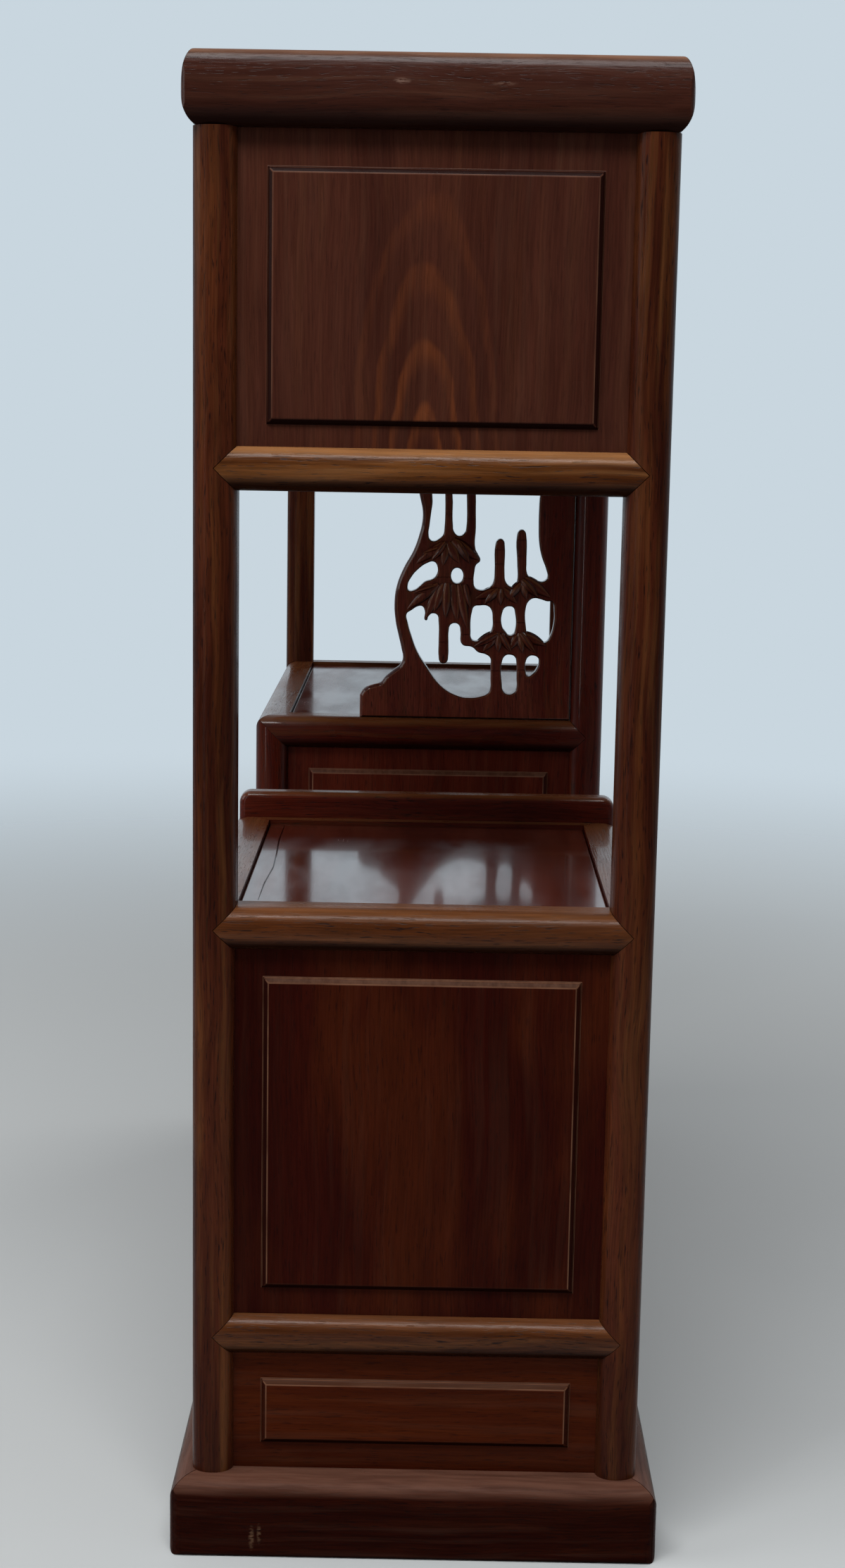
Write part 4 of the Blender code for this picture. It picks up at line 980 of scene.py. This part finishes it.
# one leaf, pointed, with a raised midrib between two hollows; the rest are copies
stepsLong, stepsWide = foliage["steps"]
bpy.ops.mesh.primitive_grid_add(x_subdivisions=stepsLong, y_subdivisions=stepsWide, size=1, location=(0.5, 0, 0))
leafModel = bpy.context.object
applyPlace()
editAll(leafModel)
bpy.ops.mesh.extrude_region_move(TRANSFORM_OT_translate={"value": (0, 0, 1)})
shape = bmesh.from_edit_mesh(leafModel.data)
for v in shape.verts:
    run, across = v.co.x, v.co.y * 2
    grown = min(1, foliage["blunt"] + (1 - foliage["blunt"]) * run)
    belly = max(foliage["fine"], math.sin(math.pi * grown ** foliage["swell"][0]) ** foliage["swell"][1])
    v.co.y = across * belly / 2
    if v.co.z > 0.5:
        domed = (1 - foliage["edge"]) * (1 - abs(across) ** foliage["dome"])
        v.co.z = foliage["edge"] + belly * (domed + foliage["rib"] * math.cos(3 * math.pi * across))
bmesh.update_edit_mesh(leafModel.data)
turnOutward()
leaves = []
for count, (root, tip, wide) in enumerate(foliage["at"]):
    run = Vector(tip) - Vector(root)
    lift = foliage["lift"] + foliage["stagger"] * (count % 3)
    turned = Matrix.Rotation(math.atan2(run.y, run.x), 4, "Z")
    for side in (-1, 1):
        leaf = bpy.data.objects.new("leaf", leafModel.data.copy())
        scene.collection.objects.link(leaf)
        size = Matrix.Diagonal((run.length / 1000, side * wide * foliage["breadth"] / 1000, side * lift, 1))
        sit = Matrix.Translation((root[0] / 1000, root[1] / 1000, side * (face - foliage["bedded"])))
        leaf.data.transform(Matrix.Translation(origin) @ onEdge @ sit @ turned @ size)
        leaves.append(leaf)
bpy.data.objects.remove(leafModel)
onlySelect(*leaves)
bpy.ops.object.join()
carving = bpy.context.object
carving.name = "vase_screen_leaves"
smoothOver(carving, foliage["smooth"])
hand(carving, woods["carved"], "panel_wood", "carcase")
print("vase screen carved:", len(foliage["at"]), "leaves")


# floor, soft lamps and a pale room
room = {
    "floor": "#cfd2d2", "pale": "#c9d6df", "dim": "#33353a", "soft": "#f1f5fa", "fill": 0.26, "below": 0.10,
    "fade": (0.9, 3.0), "reach": 6, "sides": 96, "rough": 0.7, "gloss": 0.1,
    "beyond": (0.7, -0.4), "lowered": (-0.2, 0, 0.3, 1), "horizon": (-0.3, 0.3),
}
bpy.ops.mesh.primitive_circle_add(vertices=room["sides"], radius=room["reach"], fill_type="NGON", location=(0, 0, 0))
floor = bpy.context.object
floor.name = "floor"
floorPaint = bpy.data.materials.new("palePaintedFloor")
floorPaint.use_nodes = True
ground = floorPaint.node_tree
paint = ground.nodes["Principled BSDF"]
paint.inputs["Base Color"].default_value = srgb(room["floor"])
paint.inputs["Roughness"].default_value = room["rough"]
paint.inputs["Specular IOR Level"].default_value = room["gloss"]
# the floor thins out with distance, so that it runs into the backdrop without a line
onFloor = addNode(ground, "TexCoord", out="Object")
away = addNode(ground, "VectorMath", (onFloor,), out="Value", operation="LENGTH")
thinned = addNode(ground, "MapRange", (away, *room["fade"]), interpolation_type="SMOOTHSTEP")
clear = addNode(ground, "BsdfTransparent")
thinning = addNode(ground, "MixShader", (thinned, paint.outputs[0], clear))
ground.links.new(thinning, ground.nodes["Material Output"].inputs["Surface"])
floor.data.materials.append(floorPaint)

# lamps: place, aim, width, height, power
lamps = {
    "overhead": ((1.5, -0.3, 2.5), (0.4, 0, 0.5), 1.9, 0.55, 44),
    "window": ((0.9, -2.7, 1.7), (0.2, 0, 0.5), 1.6, 1.6, 24),
    "strip": ((2.0, -1.25, 0.95), (0.46, 0, 0.6), 0.08, 1.85, 3.5),
    "far": ((-1.6, 1.7, 2.2), (0, 0, 0.5), 1.6, 1.6, 16),
}
for name, (spot, aim, wide, tallness, power) in lamps.items():
    bpy.ops.object.light_add(type="AREA", location=spot)
    lamp = bpy.context.object
    lamp.name = name
    lamp.rotation_euler = (Vector(aim) - Vector(spot)).to_track_quat("-Z", "Y").to_euler()
    lamp.data.shape = "RECTANGLE"
    lamp.data.size, lamp.data.size_y = wide, tallness
    lamp.data.energy = power

# the room: a soft fill from above, a pale backdrop beyond the cabinet, a dimmer room behind the camera
world = bpy.data.worlds.new("paleRoom")
world.use_nodes = True
scene.world = world
sky = world.node_tree
blend = {"data_type": "RGBA", "out": 2}
ray = {kind: addNode(sky, "LightPath", out=f"Is {kind} Ray") for kind in ("Camera", "Glossy", "Transmission")}
seen = addNode(sky, "Math", (ray["Glossy"], ray["Transmission"]), operation="MAXIMUM")
heading = addNode(sky, "TexCoord", out="Generated")
onward = addNode(sky, "SeparateXYZ", (heading,), out=0)
upward = addNode(sky, "SeparateXYZ", (heading,), out=2)
beyond = addNode(sky, "MapRange", (onward, *room["beyond"]), interpolation_type="SMOOTHSTEP")
mirrored = addNode(sky, "Mix", {0: beyond, 6: srgb(room["dim"]), 7: srgb(room["pale"])}, **blend)
lowered = addNode(sky, "MapRange", (upward, *room["lowered"]))
mirrored = addNode(sky, "VectorMath", {0: mirrored, "Scale": lowered}, operation="SCALE")
level = addNode(sky, "MapRange", (upward, *room["horizon"], room["below"], room["fill"]))
fill = addNode(sky, "VectorMath", {0: srgb(room["soft"])[:3], "Scale": level}, operation="SCALE")
lit = addNode(sky, "Mix", {0: seen, 6: fill, 7: mirrored}, **blend)
shown = addNode(sky, "Mix", {0: ray["Camera"], 6: lit, 7: srgb(room["pale"])}, **blend)
sky.links.new(shown, sky.nodes["Background"].inputs["Color"])
print("room lit")
